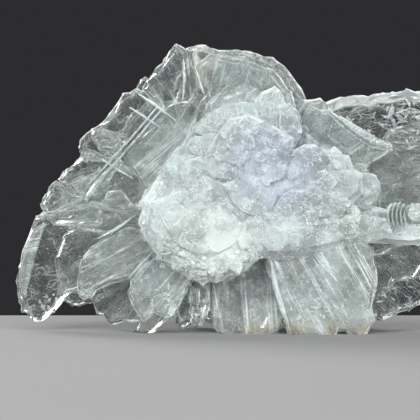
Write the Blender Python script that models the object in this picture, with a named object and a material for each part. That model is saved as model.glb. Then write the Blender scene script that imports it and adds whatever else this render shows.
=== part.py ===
"""A cluster of tabular barite crystals, grown together and standing on its broken foot.

Row frame: +X to the right, +Y away from the front, +Z up, metres. The origin is the middle of the
cluster's box on the plane that it stands on. Every crystal is a flat blade: an outline in the XZ
plane, laid on a sloping plane, given a thickness and bevelled to a chisel edge. The blades overlap
and are joined in one solid, as they grew.
"""
import math
import random
from typing import NamedTuple

import bmesh
import bpy
from mathutils import Vector

# Driving dimensions
MM = 0.001                      # outlines and depths below are in millimetres
FOOT_HEIGHT = 0.35              # the foot is broken off flat at this height of the outlines
CUTTER_SIZE = 120.0             # side of the block that cuts the foot flat
RIM_SHARE = 0.34                # share of a blade's thickness that is left as its flat rim
HEART = (0.0, 24.0)             # (x, z) that the scales of the front rosette lean out from
SCALE_SEED = 11                 # the small scales are laid out in the same way each time
SCALE_RADIUS = (1.5, 3.0)       # smallest and largest scale
SCALE_THICKNESS = 1.1
FRONT_SCALES = 28
BACK_SCALES = 9

# Material of the crystal
CRYSTAL_COLOUR = (0.80, 0.86, 0.89, 1.0)
CRYSTAL_ROUGHNESS = 0.15
CRYSTAL_IOR = 1.636


class Blade(NamedTuple):
    """One tabular crystal. Its outline is seen from the front, and its depth grows away from there."""

    name: str
    outline: list               # (x, z) points
    depth: float                # y of the middle plane at the outline's centre
    thick: float
    swing: float = 0.0          # how much deeper the plane lies for each millimetre to the right
    lean: float = 0.0           # how much deeper it lies for each millimetre up
    chisel: float = 0.7         # how far the flat faces stand in from the rim


LEFT_WING = [
    Blade("lower_left_wing", [
        (-38.3, 8.5), (-38.2, 6.8), (-37.9, 5.0), (-37.3, 3.5), (-36.6, 3.5), (-36.3, 2.7), (-35.7, 2.0),
        (-34.7, 1.9), (-33.5, 2.4), (-31.4, 4.2), (-30.0, 6.2), (-26.5, 8.0), (-20.0, 9.5), (-14.0, 13.0),
        (-15.0, 18.5), (-20.5, 21.0), (-25.5, 22.0), (-30.0, 20.7), (-33.9, 20.2), (-35.1, 19.3),
        (-36.2, 16.5), (-37.1, 13.6), (-37.9, 11.0)], 0.8, 3.2, swing=-0.12, lean=-0.06, chisel=1.5),
    Blade("second_blade", [
        (-27.9, 9.4), (-28.0, 7.4), (-27.6, 6.2), (-27.0, 5.9), (-26.2, 6.1), (-25.5, 6.4), (-24.8, 7.2),
        (-22.4, 8.5), (-20.4, 9.1), (-16.0, 9.5), (-12.5, 13.0), (-15.5, 17.5), (-20.0, 18.3), (-22.5, 16.5),
        (-24.2, 15.5), (-26.2, 13.9), (-27.3, 12.5), (-27.8, 11.0)], -1.9, 2.4, swing=-0.10, lean=0.06,
        chisel=0.6),
    Blade("third_blade", [
        (-19.6, 6.9), (-18.7, 5.0), (-17.8, 3.4), (-16.9, 2.2), (-15.3, 3.9), (-14.2, 3.1), (-12.4, 3.2),
        (-11.3, 5.2), (-10.0, 7.2), (-8.5, 9.5), (-9.5, 13.0), (-13.0, 14.4), (-16.6, 12.3), (-18.2, 10.7),
        (-19.2, 9.2), (-19.1, 8.0)], -4.6, 2.5, swing=-0.10, lean=0.14, chisel=0.5),
    Blade("low_back_blade", [
        (-31.2, 5.6), (-30.6, 5.0), (-29.3, 4.4), (-28.0, 4.1), (-26.8, 4.7), (-25.0, 4.9), (-20.0, 8.0),
        (-20.0, 13.0), (-28.0, 12.0), (-31.5, 9.5)], 4.4, 2.2, swing=-0.05, lean=-0.10),
    Blade("low_middle_blade", [
        (-26.4, 6.8), (-25.6, 4.7), (-25.0, 3.1), (-23.9, 2.9), (-23.4, 1.9), (-22.7, 1.3), (-21.9, 1.4),
        (-20.9, 1.8), (-18.8, 1.7), (-17.5, 1.9), (-16.0, 3.4), (-11.2, 7.6), (-13.4, 12.4),
        (-19.2, 13.3), (-25.0, 10.5)], 2.3, 2.5, swing=-0.04, lean=-0.05, chisel=0.5),
    Blade("foot_splinter", [
        (-18.7, 0.4), (-18.3, -0.4), (-16.2, -0.2), (-15.2, 0.6), (-14.2, 1.8), (-12.8, 2.9),
        (-11.0, 5.5), (-12.0, 7.5), (-13.8, 6.0), (-15.6, 4.0), (-17.0, 2.5)],
        -2.8, 2.0, swing=-0.08, lean=0.12, chisel=0.35),
    Blade("upper_outer_blade", [
        (-25.6, 33.9), (-25.9, 33.0), (-25.3, 31.5), (-24.3, 30.5), (-22.0, 30.2), (-19.0, 27.0),
        (-13.0, 28.0), (-11.5, 34.0), (-13.8, 37.8), (-16.9, 40.3), (-18.4, 40.9), (-19.5, 40.1),
        (-20.5, 40.0), (-21.3, 38.6), (-23.0, 36.2), (-24.4, 34.8)], 1.0, 2.8, swing=-0.08, lean=0.03),
    Blade("diagonal_blade", [
        (-20.4, 30.4), (-19.6, 28.2), (-16.5, 23.5), (-12.0, 23.0), (-5.0, 28.0), (-6.0, 36.0),
        (-9.5, 38.6), (-13.0, 37.9), (-16.0, 34.9), (-18.5, 32.4)], -0.9, 2.6, swing=-0.16, lean=-0.06,
        chisel=0.6),
    Blade("apex_blade", [
        (-11.9, 48.05), (-12.9, 47.0), (-14.0, 45.2), (-15.2, 43.8), (-16.5, 42.2), (-17.4, 40.6),
        (-14.8, 37.4), (-12.0, 33.0), (-5.0, 34.0), (-6.5, 41.0), (-8.9, 45.8), (-10.3, 47.6),
        (-11.1, 48.0)], 0.9, 2.6, swing=-0.07, lean=0.05, chisel=0.8),
    Blade("edge_chip", [
        (-18.4, 40.7), (-17.6, 42.2), (-17.0, 42.6), (-16.4, 42.2), (-14.6, 39.5), (-16.5, 38.4)],
        2.6, 1.7, chisel=0.35),
    Blade("shoulder_block", [
        (-27.9, 30.9), (-27.8, 32.1), (-26.6, 33.5), (-25.8, 34.0), (-24.6, 34.2), (-20.0, 33.0),
        (-20.0, 28.5), (-25.5, 28.5), (-27.7, 29.8)], 3.6, 4.6, swing=0.10, lean=0.05, chisel=1.1),
    Blade("flank_blade", [
        (-27.6, 30.1), (-27.8, 29.2), (-29.0, 28.0), (-30.1, 27.3), (-31.4, 25.5), (-28.2, 23.2),
        (-24.0, 20.5), (-15.0, 21.0), (-15.0, 27.0), (-20.5, 28.9), (-23.8, 29.5), (-26.1, 30.5)],
        1.9, 2.8, swing=-0.10, lean=0.08),
    Blade("flank_tip", [
        (-31.6, 25.3), (-33.0, 24.1), (-33.8, 22.5), (-34.2, 21.2), (-34.0, 20.1), (-32.0, 18.0),
        (-24.0, 18.0), (-23.0, 23.0), (-28.5, 23.7), (-29.8, 24.6)], 1.9, 2.3, swing=-0.14, lean=0.10,
        chisel=0.8),
    Blade("flank_web", [
        (-24.0, 21.7), (-22.9, 23.6), (-20.9, 23.9), (-19.0, 21.6), (-13.0, 20.0), (-13.0, 15.5),
        (-18.5, 16.5), (-20.2, 18.0), (-21.2, 20.0)], -1.3, 1.9, swing=-0.10, lean=-0.05, chisel=0.4),
    Blade("flank_ridge", [
        (-27.6, 22.2), (-24.8, 25.6), (-21.5, 28.9), (-20.3, 28.6), (-22.9, 25.4), (-26.2, 21.6)],
        0.4, 1.6, swing=-0.10, lean=0.05, chisel=0.4),
]

CROWN = [
    Blade("crown_blade", [
        (-10.0, 47.4), (-8.0, 47.9), (-6.8, 48.0), (-6.1, 47.5), (-4.8, 47.0), (-1.0, 47.1), (1.8, 46.5),
        (4.3, 45.7), (6.4, 44.4), (7.9, 42.3), (9.8, 39.4), (11.0, 37.0), (11.0, 30.0), (4.0, 26.0),
        (-6.0, 28.0), (-9.0, 36.0)], 0.6, 4.4, swing=0.04, lean=0.04, chisel=1.3),
    Blade("crown_step", [
        (-8.6, 44.5), (-6.0, 46.4), (-1.0, 45.6), (4.4, 43.9), (7.3, 40.2), (8.4, 36.5), (4.0, 32.0),
        (-5.0, 32.5)], -1.5, 2.0, swing=0.05, lean=0.08, chisel=0.9),
    Blade("saddle_blade", [
        (9.2, 38.9), (10.7, 38.8), (12.2, 39.0), (13.3, 38.2), (14.6, 36.4), (13.0, 30.0), (7.0, 30.0),
        (6.5, 35.5)], -0.6, 3.0, swing=0.08, lean=-0.06, chisel=0.6),
    Blade("saddle_lobe", [
        (10.3, 37.7), (11.9, 37.4), (13.3, 35.8), (14.0, 34.4), (12.9, 32.9), (11.0, 31.0), (8.5, 33.0),
        (9.2, 36.0)], -2.6, 1.9, swing=0.04, lean=-0.04, chisel=0.4),
]

RIGHT_WING = [
    Blade("upper_right_wing", [
        (12.0, 37.0), (13.3, 38.3), (14.2, 38.8), (16.4, 39.5), (18.8, 39.6), (20.4, 39.4), (21.3, 39.9),
        (24.0, 40.1), (25.8, 40.4), (26.7, 40.8), (27.3, 40.5), (28.0, 40.2), (29.4, 40.2), (31.6, 39.3),
        (34.0, 37.0), (36.1, 33.4), (37.4, 28.6), (37.0, 24.6), (33.5, 21.6), (27.0, 19.5), (16.0, 20.0),
        (11.0, 28.0)], 2.6, 3.4, swing=0.07, lean=0.02, chisel=1.2),
    Blade("banded_blade", [
        (10.5, 37.4), (13.9, 37.1), (16.6, 34.7), (18.6, 33.1), (21.0, 31.7), (24.0, 31.1), (24.1, 30.5),
        (21.1, 28.7), (19.2, 26.9), (16.0, 23.5), (9.0, 24.0), (7.0, 31.0)], -1.9, 2.6, swing=-0.20,
        lean=-0.20, chisel=0.35),
    Blade("tip_blade", [
        (19.0, 26.6), (21.0, 28.5), (24.1, 30.7), (25.6, 29.4), (26.2, 27.3), (25.4, 25.0), (22.6, 22.0),
        (17.0, 21.0)], 0.4, 2.2, swing=0.16, lean=-0.12, chisel=0.6),
    Blade("right_end_blade", [
        (25.5, 31.5), (27.0, 34.5), (30.5, 35.6), (34.5, 32.6), (38.2, 27.2), (38.0, 21.5), (35.0, 16.5),
        (29.5, 15.0), (25.0, 19.0), (24.0, 25.0)], 0.2, 2.6, swing=0.12, lean=-0.04, chisel=0.9),
    Blade("front_fan_blade", [
        (3.1, 12.0), (4.2, 8.5), (5.3, 5.6), (6.4, 2.2), (7.0, -0.4), (14.2, -0.4), (15.0, 0.9),
        (16.4, 0.8), (17.2, -0.4), (19.4, -0.4), (20.5, 1.6), (21.1, 2.4), (20.5, 4.8), (21.0, 6.8),
        (21.3, 9.1), (21.1, 11.5), (20.6, 14.3), (17.0, 17.6), (12.0, 18.0), (8.4, 17.1), (5.6, 15.4),
        (3.1, 13.9)], -5.2, 3.0, swing=0.03, lean=0.12, chisel=0.45),
    Blade("right_low_blade", [
        (17.0, 2.5), (20.6, 2.1), (21.4, 2.7), (22.1, 2.2), (23.6, 2.5), (24.6, 3.0), (25.7, 3.7),
        (27.1, 4.0), (28.2, 4.5), (29.6, 5.3), (31.8, 6.9), (33.6, 9.6), (34.3, 12.6), (33.4, 16.4),
        (29.0, 17.6), (20.0, 17.0), (14.0, 12.0)], -0.8, 2.9, swing=0.12, lean=0.06, chisel=0.8),
    Blade("right_shelf", [
        (12.0, 17.0), (18.0, 15.6), (23.1, 15.2), (26.5, 14.9), (30.8, 15.2), (32.6, 17.4), (31.8, 19.6),
        (26.0, 20.2), (20.0, 21.5), (12.0, 22.0)], -3.2, 3.0, swing=0.06, lean=0.05, chisel=0.8),
]

FOOT = [
    Blade("foot_blade", [
        (-6.0, 6.0), (-5.9, 3.5), (-5.7, 1.8), (-5.0, 0.6), (-3.8, -0.3), (4.0, -0.4), (5.6, 0.9),
        (6.3, 4.0), (6.4, 9.0), (5.0, 14.0), (-4.0, 14.0), (-6.2, 9.5)], -1.6, 3.8, lean=0.05, chisel=0.5),
    Blade("foot_web", [
        (4.6, 2.4), (7.0, 1.2), (12.4, 0.7), (17.6, 1.6), (20.0, 3.6), (19.4, 10.0), (12.0, 13.0),
        (4.0, 11.0)], 1.2, 3.2, lean=-0.04, chisel=0.8),
    Blade("foot_tooth_left", [
        (-12.2, 5.0), (-12.0, 3.0), (-11.6, 1.7), (-10.8, 1.1), (-9.8, 1.2), (-9.1, 2.0), (-8.6, 5.0),
        (-8.5, 9.0), (-11.0, 9.0)], -3.0, 2.2, swing=0.10, lean=0.10, chisel=0.5),
    Blade("foot_tooth_middle", [
        (-9.2, 2.2), (-8.6, 1.4), (-7.7, 1.6), (-6.6, 3.0), (-6.1, 4.4), (-6.0, 9.0), (-9.3, 9.0)],
        -4.6, 1.8, swing=-0.12, lean=0.12, chisel=0.4),
    Blade("foot_tooth_right", [
        (-8.0, 2.6), (-6.6, 1.9), (-5.4, 2.0), (-4.0, 5.0), (-4.0, 10.0), (-8.5, 10.0)],
        -0.2, 2.2, chisel=0.5),
    Blade("tiny_block", [(-9.4, 5.5), (-7.9, 5.2), (-7.8, 7.8), (-9.2, 8.0)], -5.7, 1.6, lean=0.10, chisel=0.3),
]

ROSETTE = [
    Blade("rosette_base", [
        (-14.8, 26.2), (-15.9, 24.0), (-17.1, 22.3), (-17.2, 20.6), (-17.9, 18.5), (-17.3, 17.3),
        (-16.6, 15.9), (-15.8, 14.8), (-14.4, 12.7), (-12.6, 12.1), (-11.3, 10.7), (-10.1, 10.0),
        (-8.2, 9.0), (-7.2, 8.2), (-6.2, 9.0), (-5.0, 8.8), (-3.6, 9.5), (-1.9, 10.3), (0.0, 11.0),
        (2.0, 13.0), (4.5, 17.0), (1.0, 24.0), (-6.0, 27.5), (-11.0, 28.0)], -6.1, 3.6, swing=-0.04,
        lean=0.06, chisel=0.7),
    Blade("rosette_terrace", [
        (-15.6, 22.4), (-16.6, 19.4), (-15.6, 16.4), (-13.6, 13.9), (-10.8, 12.4), (-9.2, 10.6),
        (-6.9, 10.1), (-4.6, 11.3), (-1.6, 11.7), (1.2, 14.2), (2.0, 19.0), (-4.0, 24.5), (-11.0, 24.8)],
        -7.0, 2.2, swing=0.03, lean=0.09, chisel=0.5),
    Blade("rosette_fold", [
        (-13.4, 17.4), (-11.6, 15.0), (-8.4, 13.2), (-4.4, 13.4), (-1.2, 15.2), (0.6, 18.8), (-3.0, 22.5),
        (-9.0, 22.0)], -8.2, 1.5, swing=0.02, lean=0.15, chisel=0.5),
    Blade("left_lobe", [
        (-11.3, 29.9), (-12.1, 29.8), (-13.1, 28.8), (-13.7, 27.7), (-13.8, 26.4), (-13.4, 25.0),
        (-11.0, 22.5), (-5.0, 22.0), (-4.0, 26.5), (-6.5, 29.5), (-9.4, 30.5), (-10.6, 29.6)],
        -5.4, 2.6, swing=0.04, lean=-0.04, chisel=0.5),
    Blade("left_lobe_fold", [
        (-10.4, 28.8), (-11.2, 27.0), (-10.6, 24.2), (-8.0, 21.8), (-4.6, 21.0), (-2.4, 24.0), (-4.6, 28.0),
        (-7.4, 29.6)], -6.9, 1.7, swing=0.12, lean=-0.03, chisel=0.45),
    Blade("small_lobe", [
        (-10.1, 31.1), (-9.8, 30.4), (-8.0, 29.2), (-5.0, 28.0), (-3.5, 31.0), (-5.0, 33.3),
        (-7.2, 33.1), (-8.8, 32.8), (-9.6, 31.9)], -5.7, 2.0, swing=0.05, lean=-0.05, chisel=0.4),
    Blade("upper_lobe", [
        (-9.1, 33.1), (-8.8, 34.3), (-7.8, 35.4), (-6.8, 36.5), (-3.0, 38.3), (1.0, 38.5), (3.0, 34.0),
        (0.0, 29.0), (-6.0, 29.5), (-7.6, 32.6)], -4.4, 3.0, swing=0.04, lean=0.05, chisel=0.5),
    Blade("heart_plate", [
        (-7.0, 29.6), (-7.6, 27.2), (-5.8, 25.2), (-3.9, 25.0), (-2.6, 22.6), (0.8, 21.6), (4.4, 22.4),
        (5.2, 24.0), (7.6, 25.0), (8.9, 28.2), (7.4, 30.2), (7.6, 32.6), (4.4, 34.6), (0.4, 36.4),
        (-2.8, 35.8), (-5.4, 32.6)], -6.3, 2.8, swing=0.03, lean=-0.05, chisel=0.5),
    Blade("heart_leaf_left", [
        (-4.9, 31.4), (-5.6, 28.6), (-3.6, 26.2), (-0.6, 25.8), (1.0, 28.0), (0.4, 31.6), (-2.2, 33.4)],
        -7.5, 1.4, swing=0.10, lean=-0.12, chisel=0.4),
    Blade("heart_leaf_right", [
        (1.6, 30.8), (0.8, 27.4), (2.8, 24.6), (6.0, 25.8), (7.2, 28.8), (5.6, 31.8), (3.4, 32.6)],
        -7.2, 1.5, swing=-0.10, lean=0.10, chisel=0.4),
    Blade("heart_leaf_low", [
        (-3.8, 24.8), (-2.4, 21.4), (0.8, 19.4), (4.2, 20.6), (5.4, 23.4), (2.6, 26.2), (-1.2, 27.0)],
        -7.8, 1.6, swing=0.03, lean=0.14, chisel=0.4),
    Blade("crown_lobe_left", [
        (0.6, 38.0), (2.4, 40.0), (4.6, 41.1), (5.7, 40.3), (6.4, 38.0), (5.5, 33.5), (1.5, 33.0)],
        -3.4, 2.2, lean=0.05, chisel=0.5),
    Blade("crown_lobe_right", [
        (5.0, 37.8), (7.0, 38.3), (8.7, 36.6), (9.0, 33.5), (7.5, 30.5), (4.6, 31.5)],
        -4.2, 2.2, swing=0.05, lean=0.04, chisel=0.5),
    Blade("right_plate", [
        (3.5, 17.0), (8.0, 16.6), (10.6, 17.6), (14.0, 18.6), (17.2, 20.2), (17.6, 22.2), (19.2, 23.4),
        (19.2, 26.6), (17.6, 27.4), (16.8, 29.6), (13.4, 30.0), (11.0, 31.6), (7.0, 30.5), (4.0, 26.5),
        (2.0, 21.0)], -5.5, 3.2, swing=0.07, lean=0.04, chisel=0.6),
    Blade("right_leaf_low", [
        (6.6, 19.2), (9.6, 17.9), (12.8, 19.2), (15.2, 21.4), (14.4, 24.4), (11.2, 25.4), (7.8, 23.4)],
        -6.8, 1.6, swing=0.12, lean=0.12, chisel=0.4),
    Blade("right_leaf_high", [
        (8.6, 26.8), (10.4, 24.2), (13.8, 23.6), (16.9, 25.4), (15.6, 28.2), (12.2, 30.2), (9.4, 29.4)],
        -5.9, 1.5, swing=0.14, lean=-0.10, chisel=0.4),
    Blade("right_lobe", [
        (18.9, 26.7), (20.3, 26.8), (21.3, 26.3), (21.9, 25.2), (22.0, 24.0), (21.4, 22.4), (19.6, 20.4),
        (16.0, 20.0), (15.5, 25.0)], -3.9, 2.4, swing=0.08, lean=-0.02, chisel=0.5),
    Blade("skirt_plate", [
        (-0.8, 13.6), (0.6, 12.2), (3.2, 13.6), (6.0, 15.2), (9.5, 17.2), (10.4, 19.4), (6.0, 22.0),
        (2.0, 22.5), (-1.6, 18.6)], -7.1, 2.2, swing=0.05, lean=0.08, chisel=0.5),
]

BACK = [
    Blade("back_heart", [
        (-17.0, 12.0), (-18.5, 20.0), (-14.0, 30.0), (-9.0, 40.0), (0.0, 43.0), (7.5, 38.5), (14.0, 33.0),
        (22.0, 27.0), (22.5, 16.0), (15.0, 8.0), (4.0, 6.0), (-9.0, 7.0)], 0.5, 9.0, chisel=2.6),
    Blade("back_left_low", [
        (-31.6, 8.6), (-30.4, 6.9), (-27.6, 6.2), (-22.8, 8.4), (-12.0, 9.0), (-6.0, 14.0), (-11.0, 20.5),
        (-20.5, 20.0), (-26.5, 19.2), (-30.2, 16.6), (-32.0, 12.4)], 5.2, 2.6, swing=-0.10, lean=0.04,
        chisel=0.8),
    Blade("back_left_middle", [
        (-30.8, 23.0), (-31.4, 20.2), (-29.2, 17.2), (-22.6, 16.2), (-12.0, 14.0), (-5.0, 18.0),
        (-8.0, 26.0), (-17.0, 27.4), (-22.4, 27.9), (-25.2, 26.2), (-28.8, 25.2)], 6.9, 2.3, swing=-0.12,
        lean=0.06, chisel=0.8),
    Blade("back_left_high", [
        (-24.6, 31.4), (-22.4, 28.2), (-17.0, 25.4), (-8.0, 22.0), (-3.0, 28.0), (-6.5, 36.5),
        (-12.0, 38.9), (-16.4, 38.0), (-19.2, 36.4), (-20.4, 34.2)], 5.0, 2.5, swing=-0.10, lean=0.08,
        chisel=0.8),
    Blade("back_crown", [
        (-12.4, 37.6), (-11.6, 42.2), (-9.4, 44.8), (-5.6, 45.0), (-4.0, 46.2), (0.6, 45.6), (3.6, 43.6),
        (6.6, 41.2), (8.2, 37.0), (6.0, 30.0), (1.0, 24.0), (-8.0, 25.0)], 4.4, 2.9, swing=0.05,
        lean=0.06, chisel=0.9),
    Blade("back_crown_leaf", [
        (-6.6, 38.8), (-3.6, 41.8), (0.2, 42.4), (3.0, 39.4), (4.6, 34.0), (2.0, 28.0), (-5.0, 27.0),
        (-7.6, 33.4)], 6.4, 1.9, swing=-0.06, lean=0.05, chisel=0.6),
    Blade("back_right_high", [
        (4.0, 26.0), (6.0, 33.0), (11.6, 36.4), (17.4, 36.9), (20.2, 38.2), (25.0, 37.6), (29.6, 36.4),
        (32.6, 32.6), (33.4, 28.4), (27.0, 24.4), (15.0, 20.0), (6.0, 20.0)], 5.3, 2.6, swing=0.08,
        lean=0.04, chisel=0.8),
    Blade("back_right_middle", [
        (6.0, 17.0), (8.0, 25.0), (15.0, 28.6), (22.6, 29.8), (27.0, 28.6), (32.8, 27.0), (35.2, 22.8),
        (34.2, 18.4), (29.0, 15.2), (22.0, 12.6), (12.0, 12.0)], 6.9, 2.9, swing=0.08, lean=-0.02,
        chisel=0.8),
    Blade("back_right_low", [
        (9.0, 10.0), (9.0, 18.0), (15.0, 21.0), (22.4, 19.4), (28.8, 16.2), (30.4, 12.4), (28.2, 8.8),
        (25.0, 8.2), (22.8, 5.8), (17.6, 5.4), (12.0, 6.4)], 5.4, 2.6, swing=0.05, lean=-0.10, chisel=0.8),
    Blade("back_foot_right", [
        (4.6, -0.6), (3.4, 6.0), (4.8, 14.0), (10.0, 17.0), (15.4, 13.4), (17.4, 8.0), (16.2, 3.6),
        (16.6, 1.2), (14.6, -0.6)], 7.2, 3.0, swing=0.05, lean=-0.15, chisel=0.5),
    Blade("back_foot_middle", [
        (-4.4, -0.6), (-6.4, 5.0), (-6.0, 12.0), (-1.0, 16.0), (4.6, 13.0), (5.6, 6.0), (2.6, -0.6)],
        7.9, 2.7, swing=-0.03, lean=-0.08, chisel=0.5),
    Blade("back_foot_left", [
        (-14.2, 3.2), (-16.0, 6.8), (-15.2, 12.2), (-10.0, 16.0), (-4.4, 13.0), (-3.8, 7.4), (-6.8, 2.6),
        (-10.2, 0.9)], 6.6, 2.6, swing=-0.07, lean=-0.10, chisel=0.5),
    Blade("back_rosette", [
        (-12.6, 20.6), (-12.8, 17.4), (-9.4, 14.2), (-6.2, 12.0), (0.2, 11.6), (4.8, 12.8), (6.4, 14.6),
        (10.4, 15.4), (12.2, 19.4), (10.0, 23.4), (11.2, 26.6), (7.4, 30.2), (2.6, 31.6), (-3.0, 29.6),
        (-4.4, 27.4), (-9.8, 25.6)], 7.2, 2.8, swing=0.02, lean=0.03, chisel=0.6),
    Blade("back_diagonal", [
        (-10.4, 16.6), (-8.4, 13.6), (-3.6, 14.6), (3.0, 18.6), (8.8, 22.4), (12.6, 26.4), (12.0, 29.4),
        (9.4, 30.4), (4.2, 27.6), (-3.0, 23.4), (-8.0, 20.2)], 8.5, 1.9, swing=0.04, lean=-0.04,
        chisel=0.5),
    Blade("back_leaf", [
        (-7.6, 27.6), (-8.4, 23.8), (-5.0, 20.2), (-0.4, 20.8), (1.6, 24.4), (-0.8, 28.8), (-4.6, 30.4)],
        8.1, 1.8, swing=0.08, lean=0.08, chisel=0.45),
]


def lamellae():
    """The book of thin curved plates at the right, which stand edge-on to the front."""
    count, pitch, first_x = 6, 1.15, 23.9
    made = []
    for i in range(count):
        x = first_x + i * pitch
        top = 22.1 - 0.05 * (x - 26.0) ** 2 + 0.25 * (-1) ** i
        made.append(Blade(f"lamella_{i + 1}", [
            (x - 0.55, 17.6), (x - 0.75, 20.0), (x - 0.35, top - 0.4), (x + 0.1, top),
            (x + 0.5, top - 0.5), (x + 0.3, 20.0), (x + 0.45, 17.6)], -3.4 + 0.25 * i, 3.6, chisel=0.2))
    return made


def scales(name, blades, count, side):
    """Small thin scales that overlap on one side of a rosette, each leaning out from its heart.

    side is -1 for the front and 1 for the back. A scale sinks into the proudest blade under it.
    """
    rng = random.Random(SCALE_SEED)
    made, tries = [], 0
    while len(made) < count and tries < 60 * count:
        tries += 1
        x, z = rng.uniform(-15.0, 19.0), rng.uniform(10.5, 37.0)
        radius = rng.uniform(*SCALE_RADIUS)
        under = [surface_depth(b, x, z, side) for b in blades if inside(b.outline, x, z, radius)]
        if not under or any(math.hypot(x - m[0], z - m[1]) < 0.62 * (radius + m[2]) for m in made):
            continue
        made.append((x, z, radius, max(under, key=lambda y: y * side)))
    shapes = []
    for i, (x, z, radius, surface) in enumerate(made):
        corners = rng.choice((5, 6, 6, 7))
        turn, stretch = rng.uniform(0, math.tau), rng.uniform(1.0, 1.4)
        outline = []
        for k in range(corners):
            a = turn + math.tau * k / corners
            r = radius * rng.uniform(0.82, 1.12)
            outline.append((x + r * math.cos(a) * stretch, z + r * math.sin(a)))
        outward = Vector((x - HEART[0], z - HEART[1])).normalized() * rng.uniform(0.06, 0.20) * side
        shapes.append(Blade(
            f"{name}_{i + 1:02d}", outline, surface - side * 0.30 * SCALE_THICKNESS, SCALE_THICKNESS,
            swing=outward.x + rng.uniform(-0.06, 0.06), lean=outward.y + rng.uniform(-0.06, 0.06),
            chisel=0.3))
    return shapes


def centre_of(outline):
    return sum(x for x, _ in outline) / len(outline), sum(z for _, z in outline) / len(outline)


def surface_depth(blade, x, z, side):
    """Depth of a blade's front (side -1) or back (side 1) face at a point."""
    cx, cz = centre_of(blade.outline)
    return blade.depth + blade.swing * (x - cx) + blade.lean * (z - cz) + side * blade.thick / 2


def inside(outline, x, z, margin):
    """Whether a point lies inside an outline, and the corners of a cross of that margin too."""
    def hit(px, pz):
        found = False
        for (ax, az), (bx, bz) in zip(outline, outline[1:] + outline[:1]):
            if (az > pz) != (bz > pz) and px < (bx - ax) * (pz - az) / (bz - az) + ax:
                found = not found
        return found
    arm = 0.8 * margin
    return all(hit(x + dx, z + dz) for dx, dz in ((0, 0), (arm, 0), (-arm, 0), (0, arm), (0, -arm)))


def signed_area(outline):
    return sum(ax * bz - bx * az for (ax, az), (bx, bz) in zip(outline, outline[1:] + outline[:1])) / 2


def blade_mesh(blade):
    """A closed mesh of one blade: a rim with an inset, raised flat face on each side."""
    outline = blade.outline if signed_area(blade.outline) > 0 else blade.outline[::-1]
    cx, cz = centre_of(outline)
    toward_front = Vector((blade.swing, -1.0, blade.lean)).normalized()
    rim = blade.thick * RIM_SHARE
    rise = (blade.thick - rim) / 2
    bm = bmesh.new()
    ring = [bm.verts.new((x, blade.depth + blade.swing * (x - cx) + blade.lean * (z - cz), z))
            for x, z in outline]
    back = bm.faces.new(ring)
    made = bmesh.ops.extrude_face_region(bm, geom=[back])["geom"]
    front = next(f for f in made if isinstance(f, bmesh.types.BMFace))
    bmesh.ops.translate(bm, verts=front.verts[:], vec=toward_front * (rim / 2))
    bmesh.ops.translate(bm, verts=back.verts[:], vec=-toward_front * (rim / 2))
    bmesh.ops.recalc_face_normals(bm, faces=bm.faces[:])
    for cap in (front, back):
        bmesh.ops.inset_region(bm, faces=[cap], thickness=blade.chisel, depth=rise, use_even_offset=True)
    bmesh.ops.scale(bm, verts=bm.verts[:], vec=(MM, MM, MM))
    mesh = bpy.data.meshes.new(blade.name)
    bm.to_mesh(mesh)
    bm.free()
    return mesh


def helper(name, mesh, collection):
    """An object that only shapes the cluster and is left out of it."""
    obj = bpy.data.objects.new(name, mesh)
    obj.hide_render = True
    obj.display_type = "WIRE"
    collection.objects.link(obj)
    return obj


def crystal_material():
    material = bpy.data.materials.new("barite")
    material.use_nodes = True
    shader = material.node_tree.nodes["Principled BSDF"]
    shader.inputs["Base Color"].default_value = CRYSTAL_COLOUR
    shader.inputs["Roughness"].default_value = CRYSTAL_ROUGHNESS
    shader.inputs["IOR"].default_value = CRYSTAL_IOR
    shader.inputs["Transmission Weight"].default_value = 0.7
    return material


def foot_cutter(collection):
    """The block whose top breaks the foot off flat."""
    bm = bmesh.new()
    bmesh.ops.create_cube(bm, size=CUTTER_SIZE * MM)
    bmesh.ops.translate(bm, verts=bm.verts[:], vec=(0, 0, (FOOT_HEIGHT - CUTTER_SIZE / 2) * MM))
    mesh = bpy.data.meshes.new("foot_cutter")
    bm.to_mesh(mesh)
    bm.free()
    return helper("foot_cutter", mesh, collection)


def all_blades():
    """Every blade, the thick heart at the back first."""
    return (BACK + LEFT_WING + CROWN + RIGHT_WING + FOOT + ROSETTE + lamellae()
            + scales("front_scale", ROSETTE, FRONT_SCALES, -1)
            + scales("back_scale", BACK, BACK_SCALES, 1))


def build():
    for obj in list(bpy.data.objects):
        bpy.data.objects.remove(obj)
    scene = bpy.context.scene
    shapes = bpy.data.collections.new("blades")
    scene.collection.children.link(shapes)
    heart, *others = [blade_mesh(blade) for blade in all_blades()]
    for mesh in others:
        helper(mesh.name, mesh, shapes)
    cluster = bpy.data.objects.new("barite_cluster", heart)
    scene.collection.objects.link(cluster)
    cluster.data.materials.append(crystal_material())
    cutter = foot_cutter(scene.collection)

    grown = cluster.modifiers.new("grown together", "BOOLEAN")
    grown.operation = "UNION"
    grown.operand_type = "COLLECTION"
    grown.collection = shapes
    grown.solver = "EXACT"
    broken = cluster.modifiers.new("broken foot", "BOOLEAN")
    broken.operation = "DIFFERENCE"
    broken.object = cutter
    broken.solver = "EXACT"

    # The origin goes to the middle of the cluster's box, on the plane of the broken foot.
    corners = [vert.co for mesh in (heart, *others) for vert in mesh.vertices]
    middle_x = (min(c.x for c in corners) + max(c.x for c in corners)) / 2
    middle_y = (min(c.y for c in corners) + max(c.y for c in corners)) / 2
    for obj in (cluster, cutter, *shapes.objects):
        obj.location = (-middle_x, -middle_y, -FOOT_HEIGHT * MM)


build()
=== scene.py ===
"""The looks of a barite cluster.

Clear tabular blades grow through each other like an open fan, round a milky blue-white rosette of
small overlapping scales. Every blade is an outline on a sloping plane, chiselled at its rim, split in
laths along its growth and roughened at its edge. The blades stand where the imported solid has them.
"""

import logging
import math
import random
from dataclasses import dataclass, field, replace
from enum import Enum

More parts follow.
